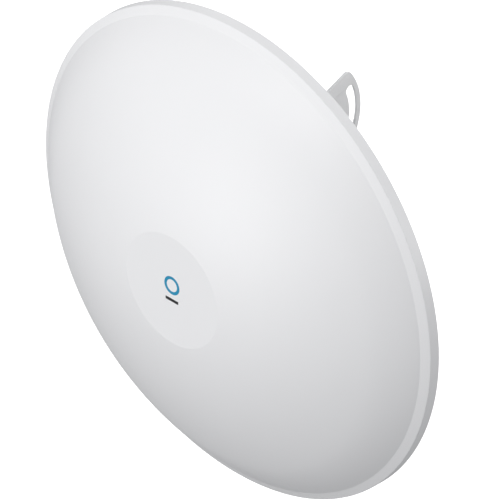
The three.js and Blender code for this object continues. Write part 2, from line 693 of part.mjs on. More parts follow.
function acrossX(name, geometry, material, x, y, z, turn) {
  const mesh = add(name, geometry, material, [x, y, z]);
  mesh.rotation.z = turn;
}

// The two M10 bolts run along X: heads on the fin's open side, nuts outside the arm.
function addElevationBolt(name, place) {
  const headX = FIN_X + SHEET + GAP;
  const length = 2 * SHEET + 2 * GAP + 13.5;
  acrossX(`${name}_bolt`, flangeBolt(M10, length), finishes.zincBolt, headX, place.y, place.z, -Math.PI / 2);
  const washerX = ARM_X - GAP;
  add(`${name}_washer`, cut(
    rodX(10.2, washerX - 2, washerX, place.y, place.z, 24),
    rodX(M10.r + GAP, washerX - 3, washerX + 1, place.y, place.z),
  ), finishes.zincBolt);
  acrossX(`${name}_nut`, flangeNut(M10), finishes.zincBolt, washerX - 2 - GAP, place.y, place.z, Math.PI / 2);
}

function addClamp() {
  add("pole_bracket", poleBracket(), finishes.galvanised);
  addElevationBolt("pivot", PIVOT);
  addElevationBolt("slot", SLOT_BOLT);
  add("clamp_jaw", clampJaw(), finishes.galvanised, [MAST.x, MAST.y, MAST.z]);
  const nutY = MAST.y + channelWebY() - 2 + SHEET + GAP;
  ["left", "right"].forEach((side, i) => {
    const x = MAST.x + (i ? CLAMP.boltX : -CLAMP.boltX);
    const bolt = add(`clamp_bolt_${side}`, flangeBolt(M8, 110), finishes.zincBolt, [x, CLAMP.webY - GAP, MAST.z]);
    bolt.rotation.x = Math.PI;
    add(`clamp_nut_${side}`, flangeNut(M8), finishes.zincBolt, [x, nutY, MAST.z]);
  });
}

addRim();
addFeed();
addRearHousing();
addDishBracket();
addClamp();

export default bridge;
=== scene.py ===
import math

import bmesh
import bpy
from mathutils import Matrix, Vector


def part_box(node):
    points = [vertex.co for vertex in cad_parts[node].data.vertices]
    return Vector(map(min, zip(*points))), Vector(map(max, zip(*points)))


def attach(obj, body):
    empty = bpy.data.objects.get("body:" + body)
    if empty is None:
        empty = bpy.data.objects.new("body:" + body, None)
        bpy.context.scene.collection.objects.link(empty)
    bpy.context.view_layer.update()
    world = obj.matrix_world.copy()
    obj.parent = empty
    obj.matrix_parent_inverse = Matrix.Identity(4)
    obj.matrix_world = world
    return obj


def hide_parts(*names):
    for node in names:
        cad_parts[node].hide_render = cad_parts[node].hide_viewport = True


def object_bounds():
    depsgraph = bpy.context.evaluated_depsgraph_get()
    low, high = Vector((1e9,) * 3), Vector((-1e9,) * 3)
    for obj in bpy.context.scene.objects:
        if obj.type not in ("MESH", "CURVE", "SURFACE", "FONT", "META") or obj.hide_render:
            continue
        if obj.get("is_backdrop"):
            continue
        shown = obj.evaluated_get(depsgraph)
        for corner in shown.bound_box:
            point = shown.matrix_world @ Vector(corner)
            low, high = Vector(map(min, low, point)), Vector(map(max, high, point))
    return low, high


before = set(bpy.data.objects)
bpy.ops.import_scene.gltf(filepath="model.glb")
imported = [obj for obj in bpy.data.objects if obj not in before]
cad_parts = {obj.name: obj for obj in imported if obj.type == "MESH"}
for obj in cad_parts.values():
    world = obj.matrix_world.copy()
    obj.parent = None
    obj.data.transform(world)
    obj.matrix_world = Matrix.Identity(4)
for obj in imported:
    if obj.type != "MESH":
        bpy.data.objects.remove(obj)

# ---------------------------------------------------------------------------------------------------------
# The frame: the dish's axis, found from the radome's box. Every piece below is drawn in millimetres about
# that axis (Y along it, Y = 0 where the dome meets the rim band, the beam leaving along -Y).
# ---------------------------------------------------------------------------------------------------------
cad_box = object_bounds()
radome_low, radome_high = (Vector(corner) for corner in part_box("radome_cover"))
DOME_HEIGHT = 80.2
dish_origin = Vector((
    (radome_low.x + radome_high.x) / 2,
    radome_low.y + DOME_HEIGHT / 1000,
    (radome_low.z + radome_high.z) / 2,
))
DISH_TO_ROW = Matrix.Translation(dish_origin) @ Matrix.Scale(0.001, 4)


def about_dish(node):
    """A CAD node's box in millimetres about the dish's axis."""
    low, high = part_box(node)
    return (Vector(low) - dish_origin) * 1000, (Vector(high) - dish_origin) * 1000


# ---------------------------------------------------------------------------------------------------------
# The studio: a camera far off on a long lens, high on the dish's right, a pale floor well below the
# object, and soft lights. The floor glows a little to the camera only, so that it doesn't light the dish.
# ---------------------------------------------------------------------------------------------------------
CAMERA_AZIMUTH = math.radians(44.73)
CAMERA_ELEVATION = math.radians(34.97)
CAMERA_DISTANCE = 20.0
VIEW_WIDTH = 0.479157
SENSOR_MM = 36.0
AIM_RIGHT = 0.01823
AIM_UP = 0.00594

back = Vector((
    math.sin(CAMERA_AZIMUTH) * math.cos(CAMERA_ELEVATION),
    -math.cos(CAMERA_AZIMUTH) * math.cos(CAMERA_ELEVATION),
    math.sin(CAMERA_ELEVATION),
))
right = Vector((math.cos(CAMERA_AZIMUTH), math.sin(CAMERA_AZIMUTH), 0))
up = back.cross(right)

camera_data = bpy.data.cameras.new("camera")
camera_data.sensor_width = SENSOR_MM
camera_data.lens = SENSOR_MM * CAMERA_DISTANCE / VIEW_WIDTH
camera_data.clip_end = 100
camera = bpy.data.objects.new("camera", camera_data)
camera.location = dish_origin + back * CAMERA_DISTANCE + right * AIM_RIGHT + up * AIM_UP
camera.rotation_euler = back.to_track_quat("Z", "Y").to_euler()
bpy.context.collection.objects.link(camera)
bpy.context.scene.camera = camera
bpy.context.scene.view_settings.view_transform = "Standard"

FLOOR_DROP = 0.6
FLOOR_SIDE = 60.0
FLOOR_GLOW = 0.62
floor_z = cad_box[0][2] - FLOOR_DROP
half = FLOOR_SIDE / 2
floor_mesh = bpy.data.meshes.new("floor")
floor_corners = [(-half, -half, floor_z), (half, -half, floor_z), (half, half, floor_z), (-half, half, floor_z)]
floor_mesh.from_pydata(floor_corners, [], [(0, 1, 2, 3)])
floor = bpy.data.objects.new("floor", floor_mesh)
bpy.context.collection.objects.link(floor)
floor_paint = bpy.data.materials.new("floor_paint")
floor_paint.use_nodes = True
floor_shader = floor_paint.node_tree.nodes["Principled BSDF"]
floor_shader.inputs["Base Color"].default_value = (0.9, 0.9, 0.9, 1)
floor_shader.inputs["Roughness"].default_value = 0.9
floor_shader.inputs["Emission Color"].default_value = (1, 1, 1, 1)
floor_shader.inputs["Emission Strength"].default_value = FLOOR_GLOW
floor_mesh.materials.append(floor_paint)
floor.visible_diffuse = False
floor.visible_glossy = False
floor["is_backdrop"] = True

# Each background tone is (colour, strength). The camera sees the plain pale one, and the other lights the
# object.
ROOM = ((0.97, 0.98, 1.0, 1), 0.35)
BACKDROP = ((1.0, 1.0, 1.0, 1), 0.98)
world = bpy.data.worlds.new("studio")
world.use_nodes = True
room_tree = world.node_tree
room = room_tree.nodes["Background"]
backdrop = room_tree.nodes.new("ShaderNodeBackground")
for node, (tone, strength) in ((room, ROOM), (backdrop, BACKDROP)):
    node.inputs["Color"].default_value = tone
    node.inputs["Strength"].default_value = strength
seen = room_tree.nodes.new("ShaderNodeMixShader")
room_tree.links.new(room_tree.nodes.new("ShaderNodeLightPath").outputs["Is Camera Ray"], seen.inputs["Fac"])
room_tree.links.new(room.outputs["Background"], seen.inputs[1])
room_tree.links.new(backdrop.outputs["Background"], seen.inputs[2])
room_tree.links.new(seen.outputs["Shader"], room_tree.nodes["World Output"].inputs["Surface"])
bpy.context.scene.world = world


def soft_light(name, direction, distance, size, watts):
    """A round lamp that the camera doesn't see, at a distance from the dish in the given direction."""
    data = bpy.data.lights.new(name, "AREA")
    data.shape = "DISK"
    data.size = size
    data.energy = watts
    lamp = bpy.data.objects.new(name, data)
    lamp.location = dish_origin + Vector(direction).normalized() * distance
    lamp.rotation_euler = (lamp.location - dish_origin).to_track_quat("Z", "Y").to_euler()
    lamp.visible_camera = False
    bpy.context.collection.objects.link(lamp)


for name, direction, distance, size, watts in (
        ("key", (0.18, -0.68, 0.71), 3.0, 1.4, 31), ("left", (-0.18, -0.68, 0.71), 3.0, 1.4, 20),
        ("low_fill", (-0.26, -0.95, -0.17), 3.0, 1.4, 32), ("left_edge", (-0.8, -0.25, 0.55), 3.0, 1.4, 3),
        ("right_edge", (0.81, 0.57, 0.17), 3.0, 1.4, 25), ("above", (0.0, 0.75, 0.66), 3.0, 1.4, 15),
        ("back_left", (-0.6, 0.95, 0.3), 3.2, 2.0, 30)):
    soft_light(name, direction, distance, size, watts)


# ---------------------------------------------------------------------------------------------------------
# The radome: one moulding in off-white weatherproof plastic with a satin face. A flat centre, a spherical
# dome, a short rim band, and behind it a solid rail that its screws bite into.
# ---------------------------------------------------------------------------------------------------------
def link_mesh(name, mesh):
    obj = bpy.data.objects.new(name, mesh)
    bpy.context.collection.objects.link(obj)
    return obj


def tidy(mesh, sharp_degrees=32, closed=True):
    """Merges doubles, turns the faces outwards and shades smooth, with real corners kept sharp."""
    work = bmesh.new()
    work.from_mesh(mesh)
    bmesh.ops.remove_doubles(work, verts=work.verts, dist=1e-4)
    bmesh.ops.dissolve_degenerate(work, edges=work.edges, dist=1e-5)
    if closed:
        bmesh.ops.recalc_face_normals(work, faces=work.faces)
    work.to_mesh(mesh)
    work.free()
    mesh.shade_smooth()
    mesh.set_sharp_from_angle(angle=math.radians(sharp_degrees))


def softened(points, radius, closed=True, steps=5, skip=()):
    """An outline with each corner rounded, apart from the numbered corners in skip."""
    out = []
    count = len(points)
    for i, point in enumerate(points):
        here = Vector(point)
        if i in skip or (not closed and i in (0, count - 1)):
            out.append(tuple(here))
            continue
        before = Vector(points[i - 1]) - here
        after = Vector(points[(i + 1) % count]) - here
        reach = min(radius, before.length * 0.45, after.length * 0.45)
        start = here + before.normalized() * reach
        end = here + after.normalized() * reach
        for k in range(steps + 1):
            t = k / steps
            out.append(tuple(start * (1 - t) ** 2 + here * 2 * t * (1 - t) + end * t ** 2))
    return out


def turned(name, profile, steps=96):
    """A closed profile of (radius, y), turned about the dish's axis. Points on the axis become one vertex."""
    vertices = []
    rings = []
    for r, y in profile:
        if r < 1e-6:
            rings.append([len(vertices)] * steps)
            vertices.append((0, y, 0))
            continue
        rings.append(list(range(len(vertices), len(vertices) + steps)))
        for k in range(steps):
            angle = 2 * math.pi * k / steps
            vertices.append((r * math.cos(angle), y, r * math.sin(angle)))
    faces = []
    for low, high in zip(rings, rings[1:] + rings[:1]):
        for k in range(steps):
            after = (k + 1) % steps
            face = []
            for index in (low[k], high[k], high[after], low[after]):
                if index not in face:
                    face.append(index)
            if len(face) > 2:
                faces.append(face)
    mesh = bpy.data.meshes.new(name)
    mesh.from_pydata(vertices, [], faces)
    return mesh


def finished(name, mesh, material, body, nodes, to_row=DISH_TO_ROW, sharp_degrees=32):
    """Puts a millimetre mesh in its place, gives it its finish and lets it stand for its CAD nodes."""
    tidy(mesh, sharp_degrees)
    mesh.transform(to_row)
    mesh.materials.clear()
    mesh.materials.append(material)
    piece = link_mesh(name, mesh)
    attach(piece, body)
    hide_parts(*nodes)
    return piece


def new_group(name, inputs, outputs):
    """An empty shader group with float, colour or vector sockets, given as (name, kind, default)."""
    tree = bpy.data.node_groups.new(name, "ShaderNodeTree")
    for title, kind, default in inputs:
        socket = tree.interface.new_socket(title, in_out="INPUT", socket_type=kind)
        if default is not None:
            socket.default_value = default
    for title, kind in outputs:
        tree.interface.new_socket(title, in_out="OUTPUT", socket_type=kind)
    entry = tree.nodes.new("NodeGroupInput")
    leave = tree.nodes.new("NodeGroupOutput")
    return tree, entry, leave


def maths(tree, operation, first, second=0.0, clamp=False):
    node = tree.nodes.new("ShaderNodeMath")
    node.operation = operation
    node.use_clamp = clamp
    for socket, value in zip(node.inputs, (first, second)):
        if isinstance(value, (int, float)):
            socket.default_value = value
        else:
            tree.links.new(value, socket)
    return node.outputs["Value"]


def noise(tree, vector, scale, detail=3.0, rough=0.55):
    node = tree.nodes.new("ShaderNodeTexNoise")
    node.inputs["Detail"].default_value = detail
    node.inputs["Roughness"].default_value = rough
    tree.links.new(vector, node.inputs["Vector"])
    if isinstance(scale, (int, float)):
        node.inputs["Scale"].default_value = scale
    else:
        tree.links.new(scale, node.inputs["Scale"])
    return node.outputs["Fac"]


def grain_group():
    """Moulded or sprayed skin: a fine grain for the bump, and slow patches for colour and gloss."""
    inputs = [("Vector", "NodeSocketVector", None), ("Grain Scale", "NodeSocketFloat", 900.0),
              ("Patch Scale", "NodeSocketFloat", 9.0)]
    outputs = [("Grain", "NodeSocketFloat"), ("Patches", "NodeSocketFloat")]
    tree, entry, leave = new_group("skin_grain", inputs, outputs)
    fine = noise(tree, entry.outputs["Vector"], entry.outputs["Grain Scale"], 2.0)
    slow = noise(tree, entry.outputs["Vector"], entry.outputs["Patch Scale"], 4.0)
    tree.links.new(fine, leave.inputs["Grain"])
    tree.links.new(slow, leave.inputs["Patches"])
    return tree


def dust_group():
    """Dust and rain marks: a mask that is strongest on faces that look up, broken up by streaks."""
    inputs = [("Vector", "NodeSocketVector", None), ("Amount", "NodeSocketFloat", 0.3)]
    tree, entry, leave = new_group("settled_dust", inputs, [("Mask", "NodeSocketFloat")])
    stretch = tree.nodes.new("ShaderNodeMapping")
    stretch.inputs["Scale"].default_value = (26, 26, 5)
    tree.links.new(entry.outputs["Vector"], stretch.inputs["Vector"])
    streaks = noise(tree, stretch.outputs["Vector"], 1.0, 5.0)
    geometry = tree.nodes.new("ShaderNodeNewGeometry")
    split = tree.nodes.new("ShaderNodeSeparateXYZ")
    tree.links.new(geometry.outputs["Normal"], split.inputs["Vector"])
    facing = maths(tree, "MULTIPLY_ADD", split.outputs["Z"], 0.5, True)
    facing.node.inputs[2].default_value = 0.5
    spotted = maths(tree, "MULTIPLY", facing, maths(tree, "POWER", streaks, 2.0), True)
    tree.links.new(maths(tree, "MULTIPLY", spotted, entry.outputs["Amount"], True), leave.inputs["Mask"])
    return tree


def wear_group():
    """Handling wear: a mask along the outer edges of a sheet or moulding, broken up by noise."""
    inputs = [("Vector", "NodeSocketVector", None), ("Edge", "NodeSocketFloat", 0.52),
              ("Amount", "NodeSocketFloat", 0.6)]
    tree, entry, leave = new_group("edge_wear", inputs, [("Mask", "NodeSocketFloat")])
    geometry = tree.nodes.new("ShaderNodeNewGeometry")
    above = maths(tree, "SUBTRACT", geometry.outputs["Pointiness"], entry.outputs["Edge"])
    sharp = maths(tree, "MULTIPLY", above, 14.0, True)
    broken = maths(tree, "MULTIPLY", sharp, noise(tree, entry.outputs["Vector"], 160.0, 4.0), True)
    tree.links.new(maths(tree, "MULTIPLY", broken, entry.outputs["Amount"], True), leave.inputs["Mask"])
    return tree


skin_grain = grain_group()
settled_dust = dust_group()
edge_wear = wear_group()


def use_group(tree, group, vector, **values):
    node = tree.nodes.new("ShaderNodeGroup")
    node.node_tree = group
    tree.links.new(vector, node.inputs["Vector"])
    for title, value in values.items():
        node.inputs[title.replace("_", " ")].default_value = value
    return node


def blended(tree, mask, first, second):
    """A colour that goes from first to second as the mask goes from 0 to 1."""
    node = tree.nodes.new("ShaderNodeMix")
    node.data_type = "RGBA"
    tree.links.new(mask, node.inputs["Factor"])
    for socket, value in ((node.inputs["A"], first), (node.inputs["B"], second)):
        if isinstance(value, tuple):
            socket.default_value = (*value, 1)
        else:
            tree.links.new(value, socket)
    return node.outputs["Result"]


def finish(name, colour, roughness, metallic=0.0, grain=900.0, bump=0.00002, patch=9.0, shade=0.94, dust=0.15,
           wear=0.0, worn=(0.6, 0.6, 0.6)):
    """A finish with grain, slow patches of a slightly darker shade, dust on top and wear along the edges.
    Returns the material, its shader, the colour so far and the object coordinates."""
    material = bpy.data.materials.new(name)
    material.use_nodes = True
    tree = material.node_tree
    shader = tree.nodes["Principled BSDF"]
    shader.inputs["Metallic"].default_value = metallic
    place = tree.nodes.new("ShaderNodeTexCoord").outputs["Object"]
    skin = use_group(tree, skin_grain, place, Grain_Scale=grain, Patch_Scale=patch)
    darker = tuple(c * shade for c in colour)
    base = blended(tree, skin.outputs["Patches"], darker, colour)
    dirt = use_group(tree, settled_dust, place, Amount=dust)
    base = blended(tree, dirt.outputs["Mask"], base, (0.55, 0.53, 0.49))
    if wear:
        rub = use_group(tree, edge_wear, place, Amount=wear)
        base = blended(tree, rub.outputs["Mask"], base, worn)
    tree.links.new(base, shader.inputs["Base Color"])
    spread = maths(tree, "MULTIPLY", skin.outputs["Patches"], 0.12)
    gloss = maths(tree, "ADD", spread, roughness - 0.06)
    tree.links.new(maths(tree, "ADD", gloss, maths(tree, "MULTIPLY", dirt.outputs["Mask"], 0.3), True),
                   shader.inputs["Roughness"])
    relief = tree.nodes.new("ShaderNodeBump")
    relief.inputs["Distance"].default_value = bump
    tree.links.new(skin.outputs["Grain"], relief.inputs["Height"])
    tree.links.new(relief.outputs["Normal"], shader.inputs["Normal"])
    return material, shader, base, place


# A small generic badge is printed on the radome's flat centre: a blue ring above a short black bar.
BADGE_BLUE = (0.0, 0.24, 0.42)
BADGE_BLACK = (0.008, 0.008, 0.01)
BADGE_DEPTH = 0.001
BADGE_RING = {"radius": 0.0085, "width": 0.0034, "rise": 0.0055}
BADGE_BAR = {"half_width": 0.0085, "half_height": 0.0017, "drop": 0.0115}


def printed_badge(material, shader, base, place):
    tree = material.node_tree
    centre = tree.nodes.new("ShaderNodeMapping")
    centre.inputs["Location"].default_value = (-dish_origin.x, 0, -dish_origin.z)
    tree.links.new(place, centre.inputs["Vector"])
    split = tree.nodes.new("ShaderNodeSeparateXYZ")
    tree.links.new(centre.outputs["Vector"], split.inputs["Vector"])
    x, y, z = split.outputs["X"], split.outputs["Y"], split.outputs["Z"]
    front = maths(tree, "LESS_THAN", y, radome_low.y + BADGE_DEPTH)
    height = maths(tree, "SUBTRACT", z, BADGE_RING["rise"])
    radius = maths(tree, "SQRT", maths(tree, "ADD", maths(tree, "MULTIPLY", x, x),
                                       maths(tree, "MULTIPLY", height, height)))
    off = maths(tree, "ABSOLUTE", maths(tree, "SUBTRACT", radius, BADGE_RING["radius"]))
    ring = maths(tree, "MULTIPLY", maths(tree, "LESS_THAN", off, BADGE_RING["width"] / 2), front)
    level = maths(tree, "ABSOLUTE", maths(tree, "ADD", z, BADGE_BAR["drop"]))
    across = maths(tree, "LESS_THAN", maths(tree, "ABSOLUTE", x), BADGE_BAR["half_width"])
    bar = maths(tree, "MULTIPLY", maths(tree, "LESS_THAN", level, BADGE_BAR["half_height"]), across)
    colour = blended(tree, ring, base, BADGE_BLUE)
    black = maths(tree, "MULTIPLY", bar, front)
    tree.links.new(blended(tree, black, colour, BADGE_BLACK), shader.inputs["Base Color"])


RADOME = {"flat_r": 61.4, "crease_r": 253.4, "band_r": 259.8, "band_y": 7.7, "rim_r": 260.0, "back_y": 19.5}
RADOME_WALL = 2.7
SHOULDER_R = 210.0
LIP_R, LIP_Y = 251.0, 2.6
FULLNESS = 1.5
RAIL_R = 247.5
RAIL_Y = 11.2
RADOME_STEPS = 256

dome_centre_y = (RADOME["crease_r"] ** 2 - RADOME["flat_r"] ** 2 - DOME_HEIGHT ** 2) / (2 * DOME_HEIGHT)
dome_radius = math.hypot(RADOME["crease_r"], dome_centre_y)
shoulder_drop = LIP_Y - dome_centre_y + math.sqrt(dome_radius ** 2 - LIP_R ** 2) + FULLNESS


def dome(from_r, to_r, steps, inset=0.0):
    """The dome's profile: a sphere, slightly fuller towards its shoulder, and falling away faster beyond it
    to the foot of the rim's lip."""
    profile = []
    for i in range(steps + 1):
        r = from_r + (to_r - from_r) * i / steps
        sphere_y = dome_centre_y - math.sqrt((dome_radius - inset) ** 2 - r ** 2)
        swell = FULLNESS * math.sin(math.pi / 2 * (r - RADOME["flat_r"]) / (LIP_R - RADOME["flat_r"]))
        fall = shoulder_drop * (max(r - SHOULDER_R, 0) / (LIP_R - SHOULDER_R)) ** 2
        profile.append((r, sphere_y - swell + fall))
    return profile


inner_dome = dome(RAIL_R, RADOME["flat_r"], 30, RADOME_WALL)
skirt_r = RADOME["rim_r"] - RADOME_WALL
flat_rings = [(RADOME["flat_r"] * i / 4, -DOME_HEIGHT) for i in range(4)]
outer_face = flat_rings + dome(RADOME["flat_r"], LIP_R, 60)
band = softened([outer_face[-1], (RADOME["band_r"], RADOME["band_y"]), (RADOME["rim_r"], RADOME["back_y"]),
                 (skirt_r, RADOME["back_y"]), (skirt_r, RAIL_Y), (RAIL_R, RAIL_Y), inner_dome[0]],
                0.8, closed=False, steps=10)
radome_profile = outer_face + band[1:] + inner_dome[1:] + [(0, inner_dome[-1][1])]

radome_plastic, *radome_nodes = finish("radome_plastic", (0.80, 0.80, 0.81), 0.46, grain=1400.0, bump=0.000012,
                                       patch=6.0, shade=0.975, dust=0.05)
printed_badge(radome_plastic, *radome_nodes)
radome = finished("radome_shell", turned("radome_shell", radome_profile, RADOME_STEPS), radome_plastic,
                  "dish_assembly", ["radome_cover"], sharp_degrees=6)

# ---------------------------------------------------------------------------------------------------------
# The reflector: a spun aluminium paraboloid with a stamped flat centre and a flat rim flange, powder
# coated light grey. The flange is sandwiched between the radome's rail and the clamp ring.
# ---------------------------------------------------------------------------------------------------------
FOCAL_LENGTH = 165.0
DISH_SHEET = 1.5
DISH = {"neck_r": 25.4, "flat_r": 84.0, "aperture_r": 246.0, "flange_r": 256.4, "flange_y": 13.0}

flat_back_y = about_dish("reflector_dish")[1].y
flat_front_y = flat_back_y - DISH_SHEET
dish_vertex_y = DISH["flange_y"] + DISH["aperture_r"] ** 2 / (4 * FOCAL_LENGTH)
BOWL_STEPS = 48
bowl = []
for i in range(BOWL_STEPS + 1):
    r = DISH["flat_r"] + (DISH["aperture_r"] - DISH["flat_r"]) * i / BOWL_STEPS
    bowl.append((r, dish_vertex_y - r ** 2 / (4 * FOCAL_LENGTH)))
front_line = [(DISH["neck_r"], flat_front_y), *bowl, (DISH["flange_r"], DISH["flange_y"])]
back_line = [(r, y + DISH_SHEET) for r, y in reversed(front_line)]
dish_paint, *_ = finish("dish_paint", (0.70, 0.71, 0.72), 0.48, grain=700.0, bump=0.00003, patch=12.0,
                        shade=0.95, dust=0.22, wear=0.25, worn=(0.5, 0.5, 0.5))
reflector = finished("spun_reflector", turned("spun_reflector", front_line + back_line, 192), dish_paint,
                     "dish_assembly", ["reflector_dish"])

# ---------------------------------------------------------------------------------------------------------
# The rim gasket and the clamp ring: a black rubber ring in front of the flange and a stamped aluminium
# ring behind it, brushed round its circle. Eight socket screws pull both against the radome's rail.
# ---------------------------------------------------------------------------------------------------------
RIM_STACK = {"inner_r": 248.5, "outer_r": 256.4}
GASKET = {"front_y": 11.5, "back_y": 12.7, "corner": 0.4}
RING = {"front_y": 14.8, "back_y": 17.3, "corner": 0.5}


def ring_profile(front_y, back_y, corner):
    inner_r, outer_r = RIM_STACK["inner_r"], RIM_STACK["outer_r"]
    corners = [(inner_r, front_y), (outer_r, front_y), (outer_r, back_y), (inner_r, back_y)]
    return softened(corners, corner, steps=3)


rubber, *_ = finish("rubber_seal", (0.018, 0.018, 0.02), 0.72, grain=1200.0, bump=0.00004, patch=30.0,
                    shade=0.7, dust=0.35)
gasket = finished("rubber_rim_gasket", turned("rubber_rim_gasket", ring_profile(**GASKET), 144), rubber,
                  "dish_assembly", ["rim_gasket"])


def brushed_round_axis(material, shader, place, centre, strength=0.12):
    """Fine brushed lines: the roughness changes quickly with the distance from the dish's axis."""
    tree = material.node_tree
    moved = tree.nodes.new("ShaderNodeMapping")
    moved.inputs["Location"].default_value = tuple(-Vector(centre))
    moved.inputs["Scale"].default_value = (1, 0, 1)
    tree.links.new(place, moved.inputs["Vector"])
    length = tree.nodes.new("ShaderNodeVectorMath")
    length.operation = "LENGTH"
    tree.links.new(moved.outputs["Vector"], length.inputs[0])
    lines = tree.nodes.new("ShaderNodeTexNoise")
    lines.noise_dimensions = "1D"
    lines.inputs["Scale"].default_value = 4200.0
    tree.links.new(length.outputs["Value"], lines.inputs["W"])
    rough = maths(tree, "MULTIPLY_ADD", lines.outputs["Fac"], strength)
    rough.node.inputs[2].default_value = 0.3
    tree.links.new(rough, shader.inputs["Roughness"])


ring_metal, ring_shader, _, ring_place = finish("clamp_ring_metal", (0.66, 0.67, 0.68), 0.36, 0.9, grain=1500.0,
                                                bump=0.00001, patch=20.0, shade=0.9, dust=0.2)
brushed_round_axis(ring_metal, ring_shader, ring_place, dish_origin)
clamp_ring = finished("stamped_clamp_ring", turned("stamped_clamp_ring", ring_profile(**RING), 192), ring_metal,
                      "dish_assembly", ["rim_clamp_ring"])


def skinned(name, loops, cyclic=False, caps=True):
    """A closed skin over loops of points with equal counts, one after the other."""
    count = len(loops[0])
    vertices = [point for loop in loops for point in loop]
    faces = []
    pairs = list(zip(range(len(loops)), range(1, len(loops))))
    if cyclic:
        pairs.append((len(loops) - 1, 0))
    for low, high in pairs:
        for k in range(count):
            after = (k + 1) % count
            faces.append((low * count + k, high * count + k, high * count + after, low * count + after))
    if caps and not cyclic:
        faces.append(tuple(range(count)))
        faces.append(tuple(range(len(loops) * count - 1, (len(loops) - 1) * count - 1, -1)))
    mesh = bpy.data.meshes.new(name)
    mesh.from_pydata(vertices, [], faces)
    return mesh


def hex_radius(angle, apothem):
    """How far a hexagon with this apothem reaches at an angle."""
    return apothem / math.cos(angle % (math.pi / 3) - math.pi / 6)


def ringed(name, rings, samples=48, cyclic=False):
    """A fastener along Y from rings of (shape, size, y, detail): round by radius, hex by apothem with its
    corners cut back to the radius in detail, or a helical thread by crest radius with its pitch in detail."""
    loops = []
    for shape, size, y, *detail in rings:
        loop = []
        for k in range(samples):
            angle = 2 * math.pi * k / samples
            r = size
            if shape == "hex":
                r = min(hex_radius(angle, size), *detail, size * 2)
            if shape == "thread":
                flank = abs(2 * ((y / detail[0] - k / samples) % 1) - 1)
                r = size - 0.6 * detail[0] * min(max(1.25 * flank - 0.12, 0), 1)
            loop.append((r * math.cos(angle), y, r * math.sin(angle)))
        loops.append(loop)
    return skinned(name, loops, cyclic)


def thread(r, from_y, to_y, pitch):
    """The rings of a helical thread, from its chamfered tip up to its run-out."""
    steps = int((to_y - from_y - 1.5 * pitch) / pitch * 6)
    rings = [("round", r - 0.9 * pitch, from_y), ("round", r - 0.62 * pitch, from_y + 0.4 * pitch)]
    rings += [("thread", r, from_y + pitch * (0.6 + i / 6), pitch) for i in range(steps)]
    return rings + [("round", r - 0.3 * pitch, to_y - 0.2 * pitch), ("round", r * 0.99, to_y)]


def socket_screw(name, shank_r, head_r, head, length, pitch):
    """A pan-head screw with a hex socket, the underside of its head at y = 0."""
    head_rings = [("round", shank_r, 0), ("round", head_r - 0.15, 0), ("round", head_r, 0.15),
                  ("round", head_r, head * 0.45), ("round", head_r * 0.93, head * 0.75),
                  ("round", head_r * 0.78, head * 0.94), ("round", head_r * 0.62, head),
                  ("hex", head_r * 0.4, head), ("hex", head_r * 0.38, head * 0.4)]
    return ringed(name, thread(shank_r, -length, -0.3, pitch) + head_rings, 24)


def repeat_tree(name, inputs, make_points):
    """A Geometry Nodes tree that puts a copy of its geometry on each point and sets the finish. Returns the
    tree and its input sockets by name."""
    tree = bpy.data.node_groups.new(name, "GeometryNodeTree")
    tree.interface.new_socket("Geometry", in_out="INPUT", socket_type="NodeSocketGeometry")
    sockets = {}
    for title, kind in inputs:
        sockets[title] = tree.interface.new_socket(title, in_out="INPUT", socket_type=kind)
    sockets["Finish"] = tree.interface.new_socket("Finish", in_out="INPUT", socket_type="NodeSocketMaterial")
    tree.interface.new_socket("Geometry", in_out="OUTPUT", socket_type="NodeSocketGeometry")
    entry = tree.nodes.new("NodeGroupInput")
    leave = tree.nodes.new("NodeGroupOutput")
    points = make_points(tree, entry)
    copies = tree.nodes.new("GeometryNodeInstanceOnPoints")
    real = tree.nodes.new("GeometryNodeRealizeInstances")
    paint = tree.nodes.new("GeometryNodeSetMaterial")
    tree.links.new(points, copies.inputs["Points"])
    tree.links.new(entry.outputs["Geometry"], copies.inputs["Instance"])
    tree.links.new(copies.outputs["Instances"], real.inputs["Geometry"])
    tree.links.new(real.outputs["Geometry"], paint.inputs["Geometry"])
    tree.links.new(entry.outputs["Finish"], paint.inputs["Material"])
    tree.links.new(paint.outputs["Geometry"], leave.inputs["Geometry"])
    return tree, sockets


def points_on_circle(tree, entry):
    """The corners of a circle about Y, turned so that the first is at the given angle."""
    circle = tree.nodes.new("GeometryNodeMeshCircle")
    tree.links.new(entry.outputs["Count"], circle.inputs["Vertices"])
    tree.links.new(entry.outputs["Circle Radius"], circle.inputs["Radius"])
    spin = tree.nodes.new("ShaderNodeCombineXYZ")
    tree.links.new(entry.outputs["First Angle"], spin.inputs["Z"])
    turn = tree.nodes.new("GeometryNodeTransform")
    tree.links.new(circle.outputs["Mesh"], turn.inputs["Geometry"])
    tree.links.new(spin.outputs["Vector"], turn.inputs["Rotation"])
    stand = tree.nodes.new("GeometryNodeTransform")
    stand.inputs["Rotation"].default_value = (math.pi / 2, 0, 0)
    tree.links.new(turn.outputs["Geometry"], stand.inputs["Geometry"])
    return stand.outputs["Geometry"]


CIRCLE_INPUTS = [("Count", "NodeSocketInt"), ("Circle Radius", "NodeSocketFloat"),
                 ("First Angle", "NodeSocketFloat")]
round_pattern = repeat_tree("screws_round_a_circle", CIRCLE_INPUTS, points_on_circle)


def as_plain_mesh(holder):
    """The object's evaluated shape as a mesh of its own; the object is then removed."""
    depsgraph = bpy.context.evaluated_depsgraph_get()
    mesh = bpy.data.meshes.new_from_object(holder.evaluated_get(depsgraph), depsgraph=depsgraph)
    bpy.data.objects.remove(holder)
    return mesh


